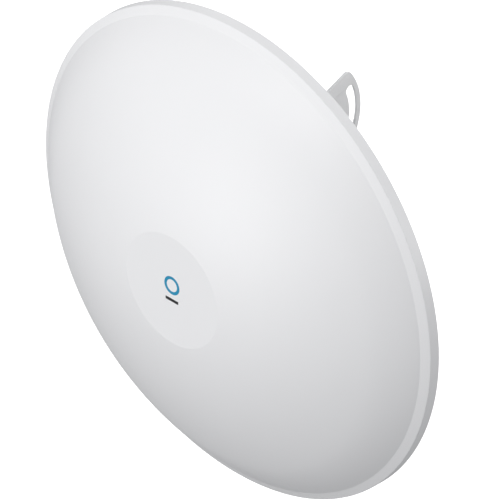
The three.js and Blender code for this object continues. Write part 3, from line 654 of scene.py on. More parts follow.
def repeated(name, unit, pattern, material, **values):
    """The unit mesh repeated by a pattern's tree, as one plain mesh."""
    tree, sockets = pattern
    holder = link_mesh(name, unit)
    modifier = holder.modifiers.new("pattern", "NODES")
    modifier.node_group = tree
    for title, value in values.items():
        modifier[sockets[title.replace("_", " ")].identifier] = value
    modifier[sockets["Finish"].identifier] = material
    return as_plain_mesh(holder)


zinc, *_ = finish("zinc_plating", (0.60, 0.62, 0.64), 0.34, 1.0, grain=2600.0, bump=0.000008, patch=60.0,
                  shade=0.82, dust=0.12, wear=0.3, worn=(0.75, 0.75, 0.74))
RIM_SCREW = {"count": 8, "circle_r": 252.4, "shank_r": 1.8, "head_r": 3.8, "head": 2.6, "pitch": 0.7}
rim_seat_y = about_dish("rim_screw_1")[1].y - RIM_SCREW["head"]
rim_tip_y = about_dish("rim_screw_1")[0].y
rim_unit = socket_screw("rim_screw", RIM_SCREW["shank_r"], RIM_SCREW["head_r"], RIM_SCREW["head"],
                        rim_seat_y - rim_tip_y, RIM_SCREW["pitch"])
rim_unit.transform(Matrix.Translation((0, rim_seat_y, 0)))
rim_mesh = repeated("rim_screws", rim_unit, round_pattern, zinc, Count=RIM_SCREW["count"],
                    Circle_Radius=RIM_SCREW["circle_r"], First_Angle=math.pi / RIM_SCREW["count"])
rim_screws = finished("rim_screws", rim_mesh, zinc, "dish_assembly",
                      [f"rim_screw_{i + 1}" for i in range(RIM_SCREW["count"])])

# ---------------------------------------------------------------------------------------------------------
# The feed and the radio, sealed inside: a plastic tube with its cap, a machined horn and sub-reflector,
# a green board with a tinned shield, a finned heat spreader and the network jack. Their CAD shapes stay.
# ---------------------------------------------------------------------------------------------------------
housing_plastic, *_ = finish("housing_plastic", (0.74, 0.74, 0.75), 0.5, grain=1700.0, bump=0.00003, patch=14.0,
                             shade=0.96, dust=0.12)
feed_metal, *_ = finish("feed_metal", (0.64, 0.65, 0.66), 0.34, 0.95, grain=2200.0, bump=0.00001, patch=40.0,
                        shade=0.88, dust=0.0)
tinned, *_ = finish("tinned_steel", (0.6, 0.6, 0.6), 0.36, 0.95, grain=900.0, bump=0.00001, patch=70.0,
                    shade=0.85, dust=0.05, wear=0.2, worn=(0.8, 0.8, 0.78))
dark_plastic, *_ = finish("dark_plastic", (0.04, 0.04, 0.043), 0.55, grain=1700.0, bump=0.00003, patch=25.0,
                          shade=0.8, dust=0.2)


def solder_mask():
    """Green solder mask, lighter over a grid of copper tracks."""
    material, shader, base, place = finish("circuit_board", (0.012, 0.12, 0.045), 0.35, grain=2000.0,
                                           bump=0.00001, patch=50.0, shade=0.8, dust=0.0)
    tree = material.node_tree
    tracks = tree.nodes.new("ShaderNodeTexBrick")
    tracks.inputs["Scale"].default_value = 160.0
    tracks.inputs["Mortar Size"].default_value = 0.06
    tracks.inputs["Color1"].default_value = (0, 0, 0, 1)
    tracks.inputs["Color2"].default_value = (0, 0, 0, 1)
    tracks.inputs["Mortar"].default_value = (1, 1, 1, 1)
    swap = tree.nodes.new("ShaderNodeMapping")
    swap.inputs["Rotation"].default_value = (0, math.pi / 2, 0)
    tree.links.new(place, swap.inputs["Vector"])
    tree.links.new(swap.outputs["Vector"], tracks.inputs["Vector"])
    copper = blended(tree, tracks.outputs["Color"], base, (0.03, 0.24, 0.09))
    tree.links.new(copper, shader.inputs["Base Color"])
    return material


board_green = solder_mask()


def dress(nodes, material):
    """Gives carried-over CAD nodes their finish."""
    for node in nodes:
        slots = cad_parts[node].data.materials
        slots.clear()
        slots.append(material)


dress(["feed_tube", "feed_cap"], housing_plastic)
dress(["sub_reflector", "feed_horn", "heat_spreader"], feed_metal)
dress(["rf_shield", "ethernet_jack"], tinned)
dress(["feed_lock_ring", "reset_switch", "reset_button"], dark_plastic)
dress(["main_board"], board_green)
dress(["housing_seal"], rubber)

# ---------------------------------------------------------------------------------------------------------
# The rear housing: a moulded barrel with a flat underside that carries the network port, hung from the
# reflector by the feed's lock ring. Four bosses inside take the cap's screws; two lugs hold the cover's pin.
# ---------------------------------------------------------------------------------------------------------
HOUSING = {"outer_r": 38.0, "wall": 2.5, "flat_z": -33.0, "floor": 3.0, "hatch_x": 15.5}
barrel_front_y, barrel_back_y = (corner.y for corner in about_dish("rear_housing"))
cap_front_y = about_dish("rear_cap")[0].y


def barrel_outline(inset, samples=96):
    """The barrel's section in (X, Z): a circle with a flat at the bottom, pulled in by inset."""
    r = HOUSING["outer_r"] - inset
    flat = HOUSING["flat_z"] + inset
    start = math.asin(flat / r)
    sweep = math.pi - 2 * start
    bow = [(r * math.cos(start + sweep * i / samples), r * math.sin(start + sweep * i / samples))
           for i in range(samples + 1)]
    width = bow[0][0]
    return bow + [(-width + 2 * width * i / 8, flat) for i in range(1, 8)]


def loop_at(inset, y):
    """The barrel's section at a place along Y."""
    return [(x, y, z) for x, z in barrel_outline(inset)]


def turn_out(mesh):
    """Merges doubles and turns the faces outwards."""
    work = bmesh.new()
    work.from_mesh(mesh)
    bmesh.ops.remove_doubles(work, verts=work.verts, dist=1e-4)
    bmesh.ops.recalc_face_normals(work, faces=work.faces)
    work.to_mesh(mesh)
    work.free()


def cylinder(axis, radius, start, end, across, samples=32):
    """A plain cutter or boss along X, Y or Z from start to end, with its centre at across."""
    loops = []
    for along in (start, end):
        loop = []
        for k in range(samples):
            angle = 2 * math.pi * k / samples
            point = [across[0] + radius * math.cos(angle), across[1] + radius * math.sin(angle)]
            point.insert("xyz".index(axis), along)
            loop.append(tuple(point))
        loops.append(loop)
    mesh = skinned("cylinder", loops)
    turn_out(mesh)
    return mesh


def box_mesh(low, high):
    """A plain cutter or stem between two opposite corners."""
    x0, y0, z0 = low
    x1, y1, z1 = high
    loops = [[(x0, y0, z), (x1, y0, z), (x1, y1, z), (x0, y1, z)] for z in (z0, z1)]
    mesh = skinned("box", loops)
    turn_out(mesh)
    return mesh


def combined(name, base, *steps):
    """A solid with others joined to it or cut from it, in order, as ("UNION" or "DIFFERENCE", mesh)."""
    turn_out(base)
    holder = link_mesh(name, base)
    helpers = []
    for operation, mesh in steps:
        helper = link_mesh("helper", mesh)
        helpers.append(helper)
        modifier = holder.modifiers.new("step", "BOOLEAN")
        modifier.operation = operation
        modifier.solver = "EXACT"
        modifier.object = helper
    mesh = as_plain_mesh(holder)
    for helper in helpers:
        bpy.data.objects.remove(helper)
    return mesh


shell_loops = [
    loop_at(0.6, barrel_front_y), loop_at(0, barrel_front_y + 0.6),
    loop_at(0, barrel_back_y - 0.5), loop_at(0.5, barrel_back_y),
    loop_at(HOUSING["wall"], barrel_back_y), loop_at(HOUSING["wall"], barrel_front_y + HOUSING["floor"]),
]
CAP_SCREW = {"offset": 21.2, "boss_r": 6.0, "boss": 12.0, "shank_r": 1.8, "head_r": 3.8, "head": 2.0,
             "length": 13.9, "pitch": 0.7}
HINGE = {"y": 103.6, "z": -35.6, "pin_r": 1.2, "knuckle_r": 2.4, "lug_x0": 11.0, "lug_x1": 16.0}
FEED_HOLE_R = 25.3
PORT_Y = (112.0, 146.0)
corner_offsets = [(sx * CAP_SCREW["offset"], sz * CAP_SCREW["offset"]) for sx in (1, -1) for sz in (1, -1)]
barrel_steps = [
    ("DIFFERENCE", cylinder("y", FEED_HOLE_R, barrel_front_y - 1, barrel_front_y + 4, (0, 0), 64)),
    ("DIFFERENCE", box_mesh((-HOUSING["hatch_x"], PORT_Y[0], HOUSING["flat_z"] - 1),
                            (HOUSING["hatch_x"], PORT_Y[1], HOUSING["flat_z"] + 4))),
]
for corner in corner_offsets:
    boss = cylinder("y", CAP_SCREW["boss_r"], barrel_back_y - CAP_SCREW["boss"], barrel_back_y - 0.6, corner)
    barrel_steps.append(("UNION", boss))
for side in (-1, 1):
    x0, x1 = sorted((side * HINGE["lug_x0"], side * HINGE["lug_x1"]))
    lug = cylinder("x", HINGE["knuckle_r"], x0, x1, (HINGE["y"], HINGE["z"]))
    stem = box_mesh((x0, HINGE["y"] - HINGE["knuckle_r"], HINGE["z"]),
                    (x1, HINGE["y"] + HINGE["knuckle_r"], HOUSING["flat_z"] + 0.8))
    barrel_steps += [("UNION", stem), ("UNION", lug)]
barrel_mesh = combined("rear_barrel", skinned("rear_barrel", shell_loops), *barrel_steps)
barrel = finished("rear_barrel", barrel_mesh, housing_plastic, "dish_assembly", ["rear_housing"])

# ---------------------------------------------------------------------------------------------------------
# The rear cap: a shallow moulded lid on the barrel with a rounded edge, four counterbored screws, a
# light window for the link indicators and a breather plug.
# ---------------------------------------------------------------------------------------------------------
COUNTERBORE = {"r": 4.3, "depth": 2.6, "hole_r": 2.1}
CAP_ROOF = 3.5
WINDOW = {"half_x": 11.0, "z0": 7.0, "z1": 12.0, "corner": 2.4, "gap": 0.3}
VENT_Z = -20.0
VENT_HOLE_R = 3.4
CAP_BACK_Y = 164.0
cap_loops = [loop_at(0.4, cap_front_y), loop_at(0, cap_front_y + 0.4)]
CAP_EDGE_R = 4.0
for i in range(9):
    angle = math.pi / 2 * i / 8
    inset, rise = CAP_EDGE_R * (1 - math.cos(angle)), CAP_EDGE_R * math.sin(angle)
    cap_loops.append(loop_at(inset, CAP_BACK_Y - CAP_EDGE_R + rise))
cap_solid = skinned("rear_lid", cap_loops)
cap_hollow = skinned("hollow", [loop_at(HOUSING["wall"], cap_front_y - 1),
                                loop_at(HOUSING["wall"], CAP_BACK_Y - CAP_ROOF)])
turn_out(cap_hollow)


def rounded_rectangle(x0, x1, y0, y1, r, steps=6):
    """An outline anticlockwise from its lower right corner."""
    corners = [(x1 - r, y0 + r, -90), (x1 - r, y1 - r, 0), (x0 + r, y1 - r, 90), (x0 + r, y0 + r, 180)]
    points = []
    for cx, cy, start in corners:
        for i in range(steps + 1):
            angle = math.radians(start + 90 * i / steps)
            points.append((cx + r * math.cos(angle), cy + r * math.sin(angle)))
    return points


def slab(outline, y0, y1, edge=0.0):
    """A slab between two places along Y over an outline in (X, Z), its far edge eased."""
    centre = [sum(p[i] for p in outline) / len(outline) for i in (0, 1)]
    loops = [[(x, y0, z) for x, z in outline], [(x, y1 - edge, z) for x, z in outline]]
    if edge:
        width = max(p[0] for p in outline) - centre[0]
        height = max(p[1] for p in outline) - centre[1]
        loops.append([(centre[0] + (x - centre[0]) * (1 - edge / width), y1,
                       centre[1] + (z - centre[1]) * (1 - edge / height)) for x, z in outline])
    mesh = skinned("slab", loops)
    turn_out(mesh)
    return mesh


half_x, low_z, high_z, gap = WINDOW["half_x"], WINDOW["z0"], WINDOW["z1"], WINDOW["gap"]
window_outline = rounded_rectangle(-half_x, half_x, low_z, high_z, WINDOW["corner"])
seat_outline = rounded_rectangle(-half_x - gap, half_x + gap, low_z - gap, high_z + gap, WINDOW["corner"] + 0.2)
cap_steps = [("DIFFERENCE", cap_hollow), ("DIFFERENCE", slab(seat_outline, CAP_BACK_Y - 1.2, CAP_BACK_Y + 1)),
             ("DIFFERENCE", cylinder("y", VENT_HOLE_R, CAP_BACK_Y - 8, CAP_BACK_Y + 1, (0, VENT_Z)))]
for corner in corner_offsets:
    boss = cylinder("y", CAP_SCREW["boss_r"], cap_front_y + 0.1, CAP_BACK_Y - 3, corner)
    bore = cylinder("y", COUNTERBORE["r"], CAP_BACK_Y - COUNTERBORE["depth"], CAP_BACK_Y + 1, corner)
    hole = cylinder("y", COUNTERBORE["hole_r"], cap_front_y - 1, CAP_BACK_Y + 1, corner)
    cap_steps += [("UNION", boss), ("DIFFERENCE", bore), ("DIFFERENCE", hole)]
lid = finished("rear_lid", combined("rear_lid", cap_solid, *cap_steps), housing_plastic, "dish_assembly",
               ["rear_cap"])

cap_seat_y = about_dish("cap_screw_1")[1].y - CAP_SCREW["head"]
cap_unit = socket_screw("cap_screw", CAP_SCREW["shank_r"], CAP_SCREW["head_r"], CAP_SCREW["head"],
                        CAP_SCREW["length"], CAP_SCREW["pitch"])
cap_unit.transform(Matrix.Translation((0, cap_seat_y, 0)))
cap_mesh = repeated("cap_screws", cap_unit, round_pattern, zinc, Count=4,
                    Circle_Radius=CAP_SCREW["offset"] * math.sqrt(2), First_Angle=math.pi / 4)
cap_screws = finished("cap_screws", cap_mesh, zinc, "dish_assembly", [f"cap_screw_{i}" for i in range(1, 5)])


LAMP = {"pitch": 0.0034, "r": 0.00105, "glow": 0.6}


def lit_lens():
    """A clear blue-white lens. Six indicator lamps glow softly behind it, four of them lit."""
    material, shader, base, place = finish("indicator_lens", (0.42, 0.5, 0.56), 0.2, grain=600.0, bump=0.000005,
                                           patch=40.0, shade=0.9, dust=0.05)
    tree = material.node_tree
    row = tree.nodes.new("ShaderNodeMapping")
    middle_z = dish_origin.z + (WINDOW["z0"] + WINDOW["z1"]) / 2000
    row.inputs["Location"].default_value = (-dish_origin.x, 0, -middle_z)
    tree.links.new(place, row.inputs["Vector"])
    split = tree.nodes.new("ShaderNodeSeparateXYZ")
    tree.links.new(row.outputs["Vector"], split.inputs["Vector"])
    pitches = maths(tree, "FRACT", maths(tree, "DIVIDE", split.outputs["X"], LAMP["pitch"]))
    x = maths(tree, "MULTIPLY", maths(tree, "SUBTRACT", pitches, 0.5), LAMP["pitch"])
    z = split.outputs["Z"]
    square = maths(tree, "ADD", maths(tree, "MULTIPLY", x, x), maths(tree, "MULTIPLY", z, z))
    lamp = maths(tree, "LESS_THAN", maths(tree, "SQRT", square), LAMP["r"])
    lit = maths(tree, "MULTIPLY", lamp, maths(tree, "LESS_THAN", split.outputs["X"], LAMP["pitch"]))
    tree.links.new(blended(tree, lamp, base, (0.12, 0.3, 0.16)), shader.inputs["Base Color"])
    tree.links.new(blended(tree, lit, (0.0, 0.0, 0.0), (0.1, 0.9, 0.3)), shader.inputs["Emission Color"])
    shader.inputs["Emission Strength"].default_value = LAMP["glow"]
    return material


window = finished("indicator_window", slab(window_outline, CAP_BACK_Y - 0.9, CAP_BACK_Y + 0.4, 0.5), lit_lens(),
                  "dish_assembly", ["led_window"])


def knurled(radius, y, lobes=16, depth=0.35, samples=96):
    """A loop about the vent's axis with grooves of the given depth."""
    loop = []
    for k in range(samples):
        angle = 2 * math.pi * k / samples
        r = radius - depth * (0.5 + 0.5 * math.cos(lobes * angle)) ** 3
        loop.append((r * math.cos(angle), y, r * math.sin(angle) + VENT_Z))
    return loop


vent_low, vent_high = about_dish("vent_plug")
vent_seat = CAP_BACK_Y + 0.3
vent_loops = [
    knurled(3.0, vent_low.y, depth=0), knurled(3.0, vent_seat, depth=0), knurled(6.2, vent_seat, depth=0),
    knurled(6.5, vent_seat + 0.3), knurled(6.5, vent_high.y - 1.2), knurled(5.9, vent_high.y - 0.4, depth=0.2),
    knurled(5.0, vent_high.y, depth=0), knurled(3.4, vent_high.y, depth=0),
    knurled(3.2, vent_high.y - 0.6, depth=0),
]
vent = finished("breather_plug", skinned("breather_plug", vent_loops), dark_plastic, "dish_assembly",
                ["vent_plug"])

# ---------------------------------------------------------------------------------------------------------
# The port cover: a hinged plastic hatch under the barrel that hides the network jack and the reset button.
# It turns on a steel pin, has a thumb lip at its free end and holds the cable's rubber bush.
# ---------------------------------------------------------------------------------------------------------
cover_high = about_dish("port_cover")[1]
bush_low, bush_high = about_dish("cable_grommet")
BUSH = {"bore_r": 3.5, "neck_r": 5.0, "flange_r": 6.2, "levels": (-37.8, -36.3, -33.0, -31.7)}
bush_centre = ((bush_low.x + bush_high.x) / 2, (bush_low.y + bush_high.y) / 2)
COVER = {"x": 17.8, "y0": 107.0, "y1": 149.0, "corner": 3.0, "z0": -36.0, "z1": -33.3, "lip_x": 7.0}
COVER_GROOVES = {"count": 5, "x": 9.0, "from_edge": 6.0, "pitch": 2.4, "width": 1.1, "depth": 0.5}


def tray(outline, z0, z1, edge):
    """A slab in (X, Y) from z0 up to z1, its lower edge eased."""
    cx = sum(p[0] for p in outline) / len(outline)
    cy = sum(p[1] for p in outline) / len(outline)
    width = max(p[0] for p in outline) - cx
    height = max(p[1] for p in outline) - cy

    def drawn_in(amount, z):
        across, along = 1 - amount / width, 1 - amount / height
        return [(cx + (x - cx) * across, cy + (y - cy) * along, z) for x, y in outline]

    mesh = skinned("tray", [drawn_in(edge, z0), drawn_in(edge * 0.3, z0 + edge * 0.3), drawn_in(0, z0 + edge),
                            drawn_in(0, z1)])
    turn_out(mesh)
    return mesh


cover_outline = rounded_rectangle(-COVER["x"], COVER["x"], COVER["y0"], COVER["y1"], COVER["corner"])
knuckle_x = HINGE["lug_x0"] - 0.3
cover_steps = [
    ("UNION", cylinder("x", HINGE["knuckle_r"], -knuckle_x, knuckle_x, (HINGE["y"], HINGE["z"]))),
    ("UNION", box_mesh((-knuckle_x, HINGE["y"], COVER["z0"] + 0.1),
                       (knuckle_x, COVER["y0"] + 2, COVER["z0"] + 2.1))),
    ("UNION", box_mesh((-COVER["lip_x"], COVER["y1"] - 1, COVER["z0"] + 0.05),
                       (COVER["lip_x"], cover_high.y, COVER["z0"] + 1.6))),
    ("DIFFERENCE", cylinder("z", BUSH["neck_r"] + 0.3, COVER["z0"] - 1, COVER["z1"] + 1, bush_centre)),
    ("DIFFERENCE", cylinder("x", HINGE["pin_r"] + 0.25, -20, 20, (HINGE["y"], HINGE["z"]), 24)),
]
for i in range(COVER_GROOVES["count"]):
    y = COVER["y0"] + COVER_GROOVES["from_edge"] + COVER_GROOVES["pitch"] * i
    groove = box_mesh((-COVER_GROOVES["x"], y, COVER["z0"] - 1),
                      (COVER_GROOVES["x"], y + COVER_GROOVES["width"], COVER["z0"] + COVER_GROOVES["depth"]))
    cover_steps.append(("DIFFERENCE", groove))
cover_mesh = combined("port_hatch", tray(cover_outline, COVER["z0"], COVER["z1"], 0.9), *cover_steps)
cover = finished("port_hatch", cover_mesh, housing_plastic, "port_cover", ["port_cover"])

pin_half, pin_r, pin_chamfer = 16.0, HINGE["pin_r"], 0.4
pin_loops = [("round", pin_r - 0.3, -pin_half), ("round", pin_r, pin_chamfer - pin_half),
             ("round", pin_r, pin_half - pin_chamfer), ("round", pin_r - 0.3, pin_half)]
ACROSS = Matrix.Rotation(-math.pi / 2, 4, "Z")
pin_mesh = ringed("hinge_pin", pin_loops, 24)
pin_mesh.transform(Matrix.Translation((0, HINGE["y"], HINGE["z"])) @ ACROSS)
pin = finished("hinge_pin", pin_mesh, zinc, "dish_assembly", ["port_cover_pin"])

bore_r, neck_r, flange_r = BUSH["bore_r"], BUSH["neck_r"], BUSH["flange_r"]
bottom, neck_bottom, neck_top, top = BUSH["levels"]
bush_profile = softened([(bore_r, bottom), (flange_r, bottom), (flange_r, neck_bottom), (neck_r, neck_bottom),
                         (neck_r, neck_top), (flange_r, neck_top), (flange_r, top), (bore_r, top)],
                        0.45, steps=4)
bush_mesh = turned("cable_bush", bush_profile, 64)
bush_mesh.transform(Matrix.Translation((*bush_centre, 0)) @ Matrix.Rotation(math.pi / 2, 4, "X"))
bush = finished("cable_bush", bush_mesh, rubber, "port_cover", ["cable_grommet"])

# ---------------------------------------------------------------------------------------------------------
# Folded sheet: the brackets are 3 mm plate. Each starts as a flat blank with eased edges, in (x, y) with its
# thickness along z, and is then bent along straight lines with an inside radius of 2 mm. BEND_RUN is the
# length of sheet that one bend takes up.
# ---------------------------------------------------------------------------------------------------------
SHEET = 3.0
BEND_IN = 2.0
BEND_OUT = BEND_IN + SHEET
BEND_RUN = (BEND_IN + SHEET / 2) * math.pi / 2
EDGE = 0.35


def arc(centre, radius, start, end, steps=24):
    """Points along an arc, both ends included."""
    return [(centre[0] + radius * math.cos(start + (end - start) * i / steps),
             centre[1] + radius * math.sin(start + (end - start) * i / steps)) for i in range(steps + 1)]


def round_hole(x, y, radius):
    return arc((x, y), radius, 0, 2 * math.pi, 40)[:-1]


def blank(name, outline, holes=(), thickness=SHEET, edge=EDGE):
    """A flat plate with holes, its edges eased all round."""
    data = bpy.data.curves.new(name, "CURVE")
    data.dimensions = "2D"
    data.fill_mode = "BOTH"
    data.extrude = thickness / 2 - edge
    data.bevel_depth = edge
    data.bevel_resolution = 2
    data.offset = -edge
    for points in (outline, *holes):
        spline = data.splines.new("POLY")
        spline.points.add(len(points) - 1)
        for point, (x, y) in zip(spline.points, points):
            point.co = (x, y, 0, 1)
        spline.use_cyclic_u = True
    plate = bpy.data.objects.new(name, data)
    bpy.context.collection.objects.link(plate)
    mesh = as_plain_mesh(plate)
    mesh.transform(Matrix.Translation((0, 0, thickness / 2)))
    turn_out(mesh)
    return mesh


def fold(mesh, place, bends=lambda x, y: True, steps=8):
    """Bends the sheet up by 90 degrees where it passes x = 0 of the given place, whose y axis is the fold's
    line. Only what the given rule picks out, by its place on the blank, is bent."""
    mesh.transform(place.inverted())
    work = bmesh.new()
    work.from_mesh(mesh)
    for i in range(steps + 1):
        everything = [*work.verts, *work.edges, *work.faces]
        bmesh.ops.bisect_plane(work, geom=everything, dist=1e-5, plane_co=(BEND_RUN * i / steps, 0, 0),
                               plane_no=(1, 0, 0))
    for vertex in work.verts:
        x, y, z = vertex.co
        if x <= 0 or not bends(x, y):
            continue
        angle = min(x / BEND_RUN, 1) * math.pi / 2
        beyond = max(x - BEND_RUN, 0)
        radius = BEND_OUT - z
        vertex.co = (radius * math.sin(angle), y, BEND_OUT - radius * math.cos(angle) + beyond)
    work.to_mesh(mesh)
    work.free()
    mesh.transform(place)


def axes(x_axis, y_axis, origin=(0, 0, 0)):
    """The place with these x and y axes and this origin."""
    x_axis, y_axis = Vector(x_axis), Vector(y_axis)
    turn = Matrix((x_axis, y_axis, x_axis.cross(y_axis))).transposed().to_4x4()
    return Matrix.Translation(origin) @ turn


# ---------------------------------------------------------------------------------------------------------
# The dish bracket: a base plate bolted through the reflector's flat centre, with a fan-shaped fin folded
# back from its edge. The fin's curved slot gives the elevation. Relief cuts sit at both ends of the fold.
# ---------------------------------------------------------------------------------------------------------
BASE = {"half_x": 53.0, "half_z": 60.0, "corner": 10.0, "cutout_r": 41.0, "bolt_x": 40.0, "bolt_z": 47.0}
PIVOT = (155.5, 41.8)
FIN = {"outer_r": 72.8, "slot_r": 62.4, "slot_half": 5.2, "edge_offset": 22.3, "corner": 5.0,
       "slot_top": math.radians(21.5), "slot_bottom": math.radians(-53)}
EARTH = {"x": 25.5, "z": -51.0, "hole_r": 2.8}
M6_HOLE, M8_HOLE, M10_HOLE = 3.3, 4.6, 5.3
RELIEF = 3.0

base_front_y = about_dish("dish_bracket")[0].y
fin_fold_x = -BASE["half_x"] + BEND_OUT
fin_fold_y = base_front_y + BEND_OUT


def eased_corner(before, corner, after, radius, steps=8):
    """A rounded corner between two neighbours of an outline."""
    corner = Vector(corner)
    start = corner + (Vector(before) - corner).normalized() * radius
    end = corner + (Vector(after) - corner).normalized() * radius
    return [tuple(start * (1 - t) ** 2 + corner * 2 * t * (1 - t) + end * t ** 2)
            for t in (i / steps for i in range(steps + 1))]


def fin_fan():
    """The fin's outline in (Y, Z) from its lower root round to its upper root, and the root's half height."""
    lean = math.asin(FIN["edge_offset"] / FIN["outer_r"])
    ease = FIN["corner"] / FIN["outer_r"]
    top, bottom = FIN["slot_top"] + lean, FIN["slot_bottom"] - lean
    rim = arc(PIVOT, FIN["outer_r"], bottom + ease, top - ease, 64)
    top_corner = arc(PIVOT, FIN["outer_r"], top, top, 1)[0]
    bottom_corner = arc(PIVOT, FIN["outer_r"], bottom, bottom, 1)[0]
    root = top_corner[1] - (top_corner[0] - fin_fold_y) * math.tan(FIN["slot_top"])
    low = eased_corner((fin_fold_y, -root), bottom_corner, rim[0], FIN["corner"])
    high = eased_corner(rim[-1], top_corner, (fin_fold_y, root), FIN["corner"])
    return low[:-1] + rim + high[1:], root


def arc_slot(centre, radius, half, start, end):
    """The outline of a curved slot with round ends."""
    low, high = arc(centre, radius, start, start, 1)[0], arc(centre, radius, end, end, 1)[0]
    outer, inner = arc(centre, radius + half, start, end, 40), arc(centre, radius - half, end, start, 40)
    return outer + arc(high, half, end, end + math.pi, 14)[1:-1] + inner + arc(
        low, half, start + math.pi, start + 2 * math.pi, 14)[1:-1]


def fin_on_blank(points):
    """Points of the fin, in (Y, Z), laid out flat beyond the fold in the base plate's (X, Z)."""
    return [(fin_fold_x - BEND_RUN - (y - fin_fold_y), z) for y, z in points]


def dish_bracket_mesh():
    """The flat blank of base plate and fin, then folded once."""
    fan, root = fin_fan()
    half_x, half_z, corner = BASE["half_x"], BASE["half_z"], BASE["corner"]
    notch_x, notch_z = fin_fold_x + RELIEF, root + RELIEF
    right_side = (arc((half_x - corner, -half_z + corner), corner, -math.pi / 2, 0, 10)
                  + arc((half_x - corner, half_z - corner), corner, 0, math.pi / 2, 10))
    upper_left = arc((-half_x + corner, half_z - corner), corner, math.pi / 2, math.pi, 10)
    lower_left = arc((-half_x + corner, -half_z + corner), corner, math.pi, 1.5 * math.pi, 10)
    half_cut = RELIEF / 2
    upper_cut = [(-half_x, notch_z)] + arc((notch_x, root + half_cut), half_cut, math.pi / 2, -math.pi / 2, 8)
    lower_cut = arc((notch_x, -root - half_cut), half_cut, math.pi / 2, -math.pi / 2, 8) + [(-half_x, -notch_z)]
    run = [(fin_fold_x - BEND_RUN, root)] + fin_on_blank(fan)[::-1] + [(fin_fold_x - BEND_RUN, -root)]
    outline = right_side + upper_left + upper_cut + run + lower_cut + lower_left
    holes = [round_hole(0, 0, BASE["cutout_r"]), round_hole(EARTH["x"], EARTH["z"], EARTH["hole_r"])]
    holes += [round_hole(sx * BASE["bolt_x"], sz * BASE["bolt_z"], M6_HOLE) for sx in (1, -1) for sz in (1, -1)]
    slot = arc_slot(PIVOT, FIN["slot_r"], FIN["slot_half"], FIN["slot_bottom"], FIN["slot_top"])
    holes += [fin_on_blank(slot), fin_on_blank(round_hole(*PIVOT, M10_HOLE))]
    mesh = blank("folded_dish_bracket", outline, holes)
    mesh.transform(axes((1, 0, 0), (0, 0, 1), (0, base_front_y + SHEET, 0)))
    place = axes((-1, 0, 0), (0, 0, 1), (fin_fold_x, base_front_y, 0))
    fold(mesh, place, lambda x, y: abs(y) < root + 0.6 or x > BEND_RUN - 0.1)
    return mesh


bracket_paint, *_ = finish("bracket_paint", (0.90, 0.90, 0.905), 0.4, 0.0, grain=800.0, bump=0.00003,
                           patch=16.0, shade=0.93, dust=0.2, wear=0.8, worn=(0.9, 0.9, 0.9))
dish_bracket = finished("folded_dish_bracket", dish_bracket_mesh(), bracket_paint, "dish_assembly",
                        ["dish_bracket"], sharp_degrees=50)

# ---------------------------------------------------------------------------------------------------------
# The pole bracket: a galvanised channel whose two flanges have toothed 120 degree notches that bite a round
# mast, and an arm folded back from the end of its web, which carries the pivot bolt and the slot bolt.
# ---------------------------------------------------------------------------------------------------------
MAST = (-116.0, 189.8675, -60.0)
ARM_OUTER_X = about_dish("pole_bracket")[1].x
CLAMP = {"web_y": 150.0, "half_height": 32.0, "half_width": 56.0, "bolt_x": 42.0}
NOTCH = {"depth": 28.8675, "half_mouth": 32.0, "mouth": 10.0, "teeth": 7, "tooth": 1.4}
SLOT_BOLT_ANGLE = math.radians(-33)
SLOT_BOLT = arc(PIVOT, FIN["slot_r"], SLOT_BOLT_ANGLE, SLOT_BOLT_ANGLE, 1)[0]
TAB = 1.5


def notched_edge(run_at_mouth, sign):
    """The toothed notch along a flange's free edge, in the blank's (x, run), for x going up or down."""
    depth, half_mouth = NOTCH["depth"], NOTCH["half_mouth"]
    slope = (NOTCH["mouth"] - depth) / half_mouth
    points = [(half_mouth, run_at_mouth)]
    for i in range(1, 2 * NOTCH["teeth"]):
        x = half_mouth * (1 - i / NOTCH["teeth"])
        surface = depth + slope * abs(x)
        for tooth in (0, NOTCH["tooth"]):
            points.append((x, run_at_mouth - (surface + tooth - NOTCH["mouth"])))
    points.append((-half_mouth, run_at_mouth))
    return [(-sign * x, sign * run) for x, run in points]


def channel_mesh(name, web_to_mouth, extra=0.0):
    """A folded channel: x along the web, y across it, both notched flanges folded up towards +z. The web may
    run on past the flanges at its +x end."""
    half_width = CLAMP["half_width"]
    web_half = CLAMP["half_height"] - BEND_OUT
    run = web_half + BEND_RUN + web_to_mouth - BEND_OUT
    corner = 4.0
    outline = []
    for sign in (1, -1):
        outline.append((-sign * half_width, sign * web_half))
        far_edge, side = sign * run, sign * half_width
        outline += eased_corner((-side, 0), (-side, far_edge), (0, far_edge), corner)
        outline += notched_edge(run, sign)
        outline += eased_corner((0, far_edge), (side, far_edge), (side, 0), corner)
        outline.append((sign * half_width, sign * web_half))
        if extra and sign == 1:
            tab = [(half_width - RELIEF, web_half), (half_width - RELIEF, web_half - RELIEF),
                   (half_width + extra, web_half - RELIEF)]
            outline += tab + [(x, -y) for x, y in reversed(tab)]
    holes = [round_hole(x, 0, M8_HOLE) for x in (-CLAMP["bolt_x"], CLAMP["bolt_x"])]
    mesh = blank(name, outline, holes)
    fold(mesh, axes((0, 1, 0), (-1, 0, 0), (0, web_half, 0)))
    fold(mesh, axes((0, -1, 0), (1, 0, 0), (0, -web_half, 0)))
    return mesh


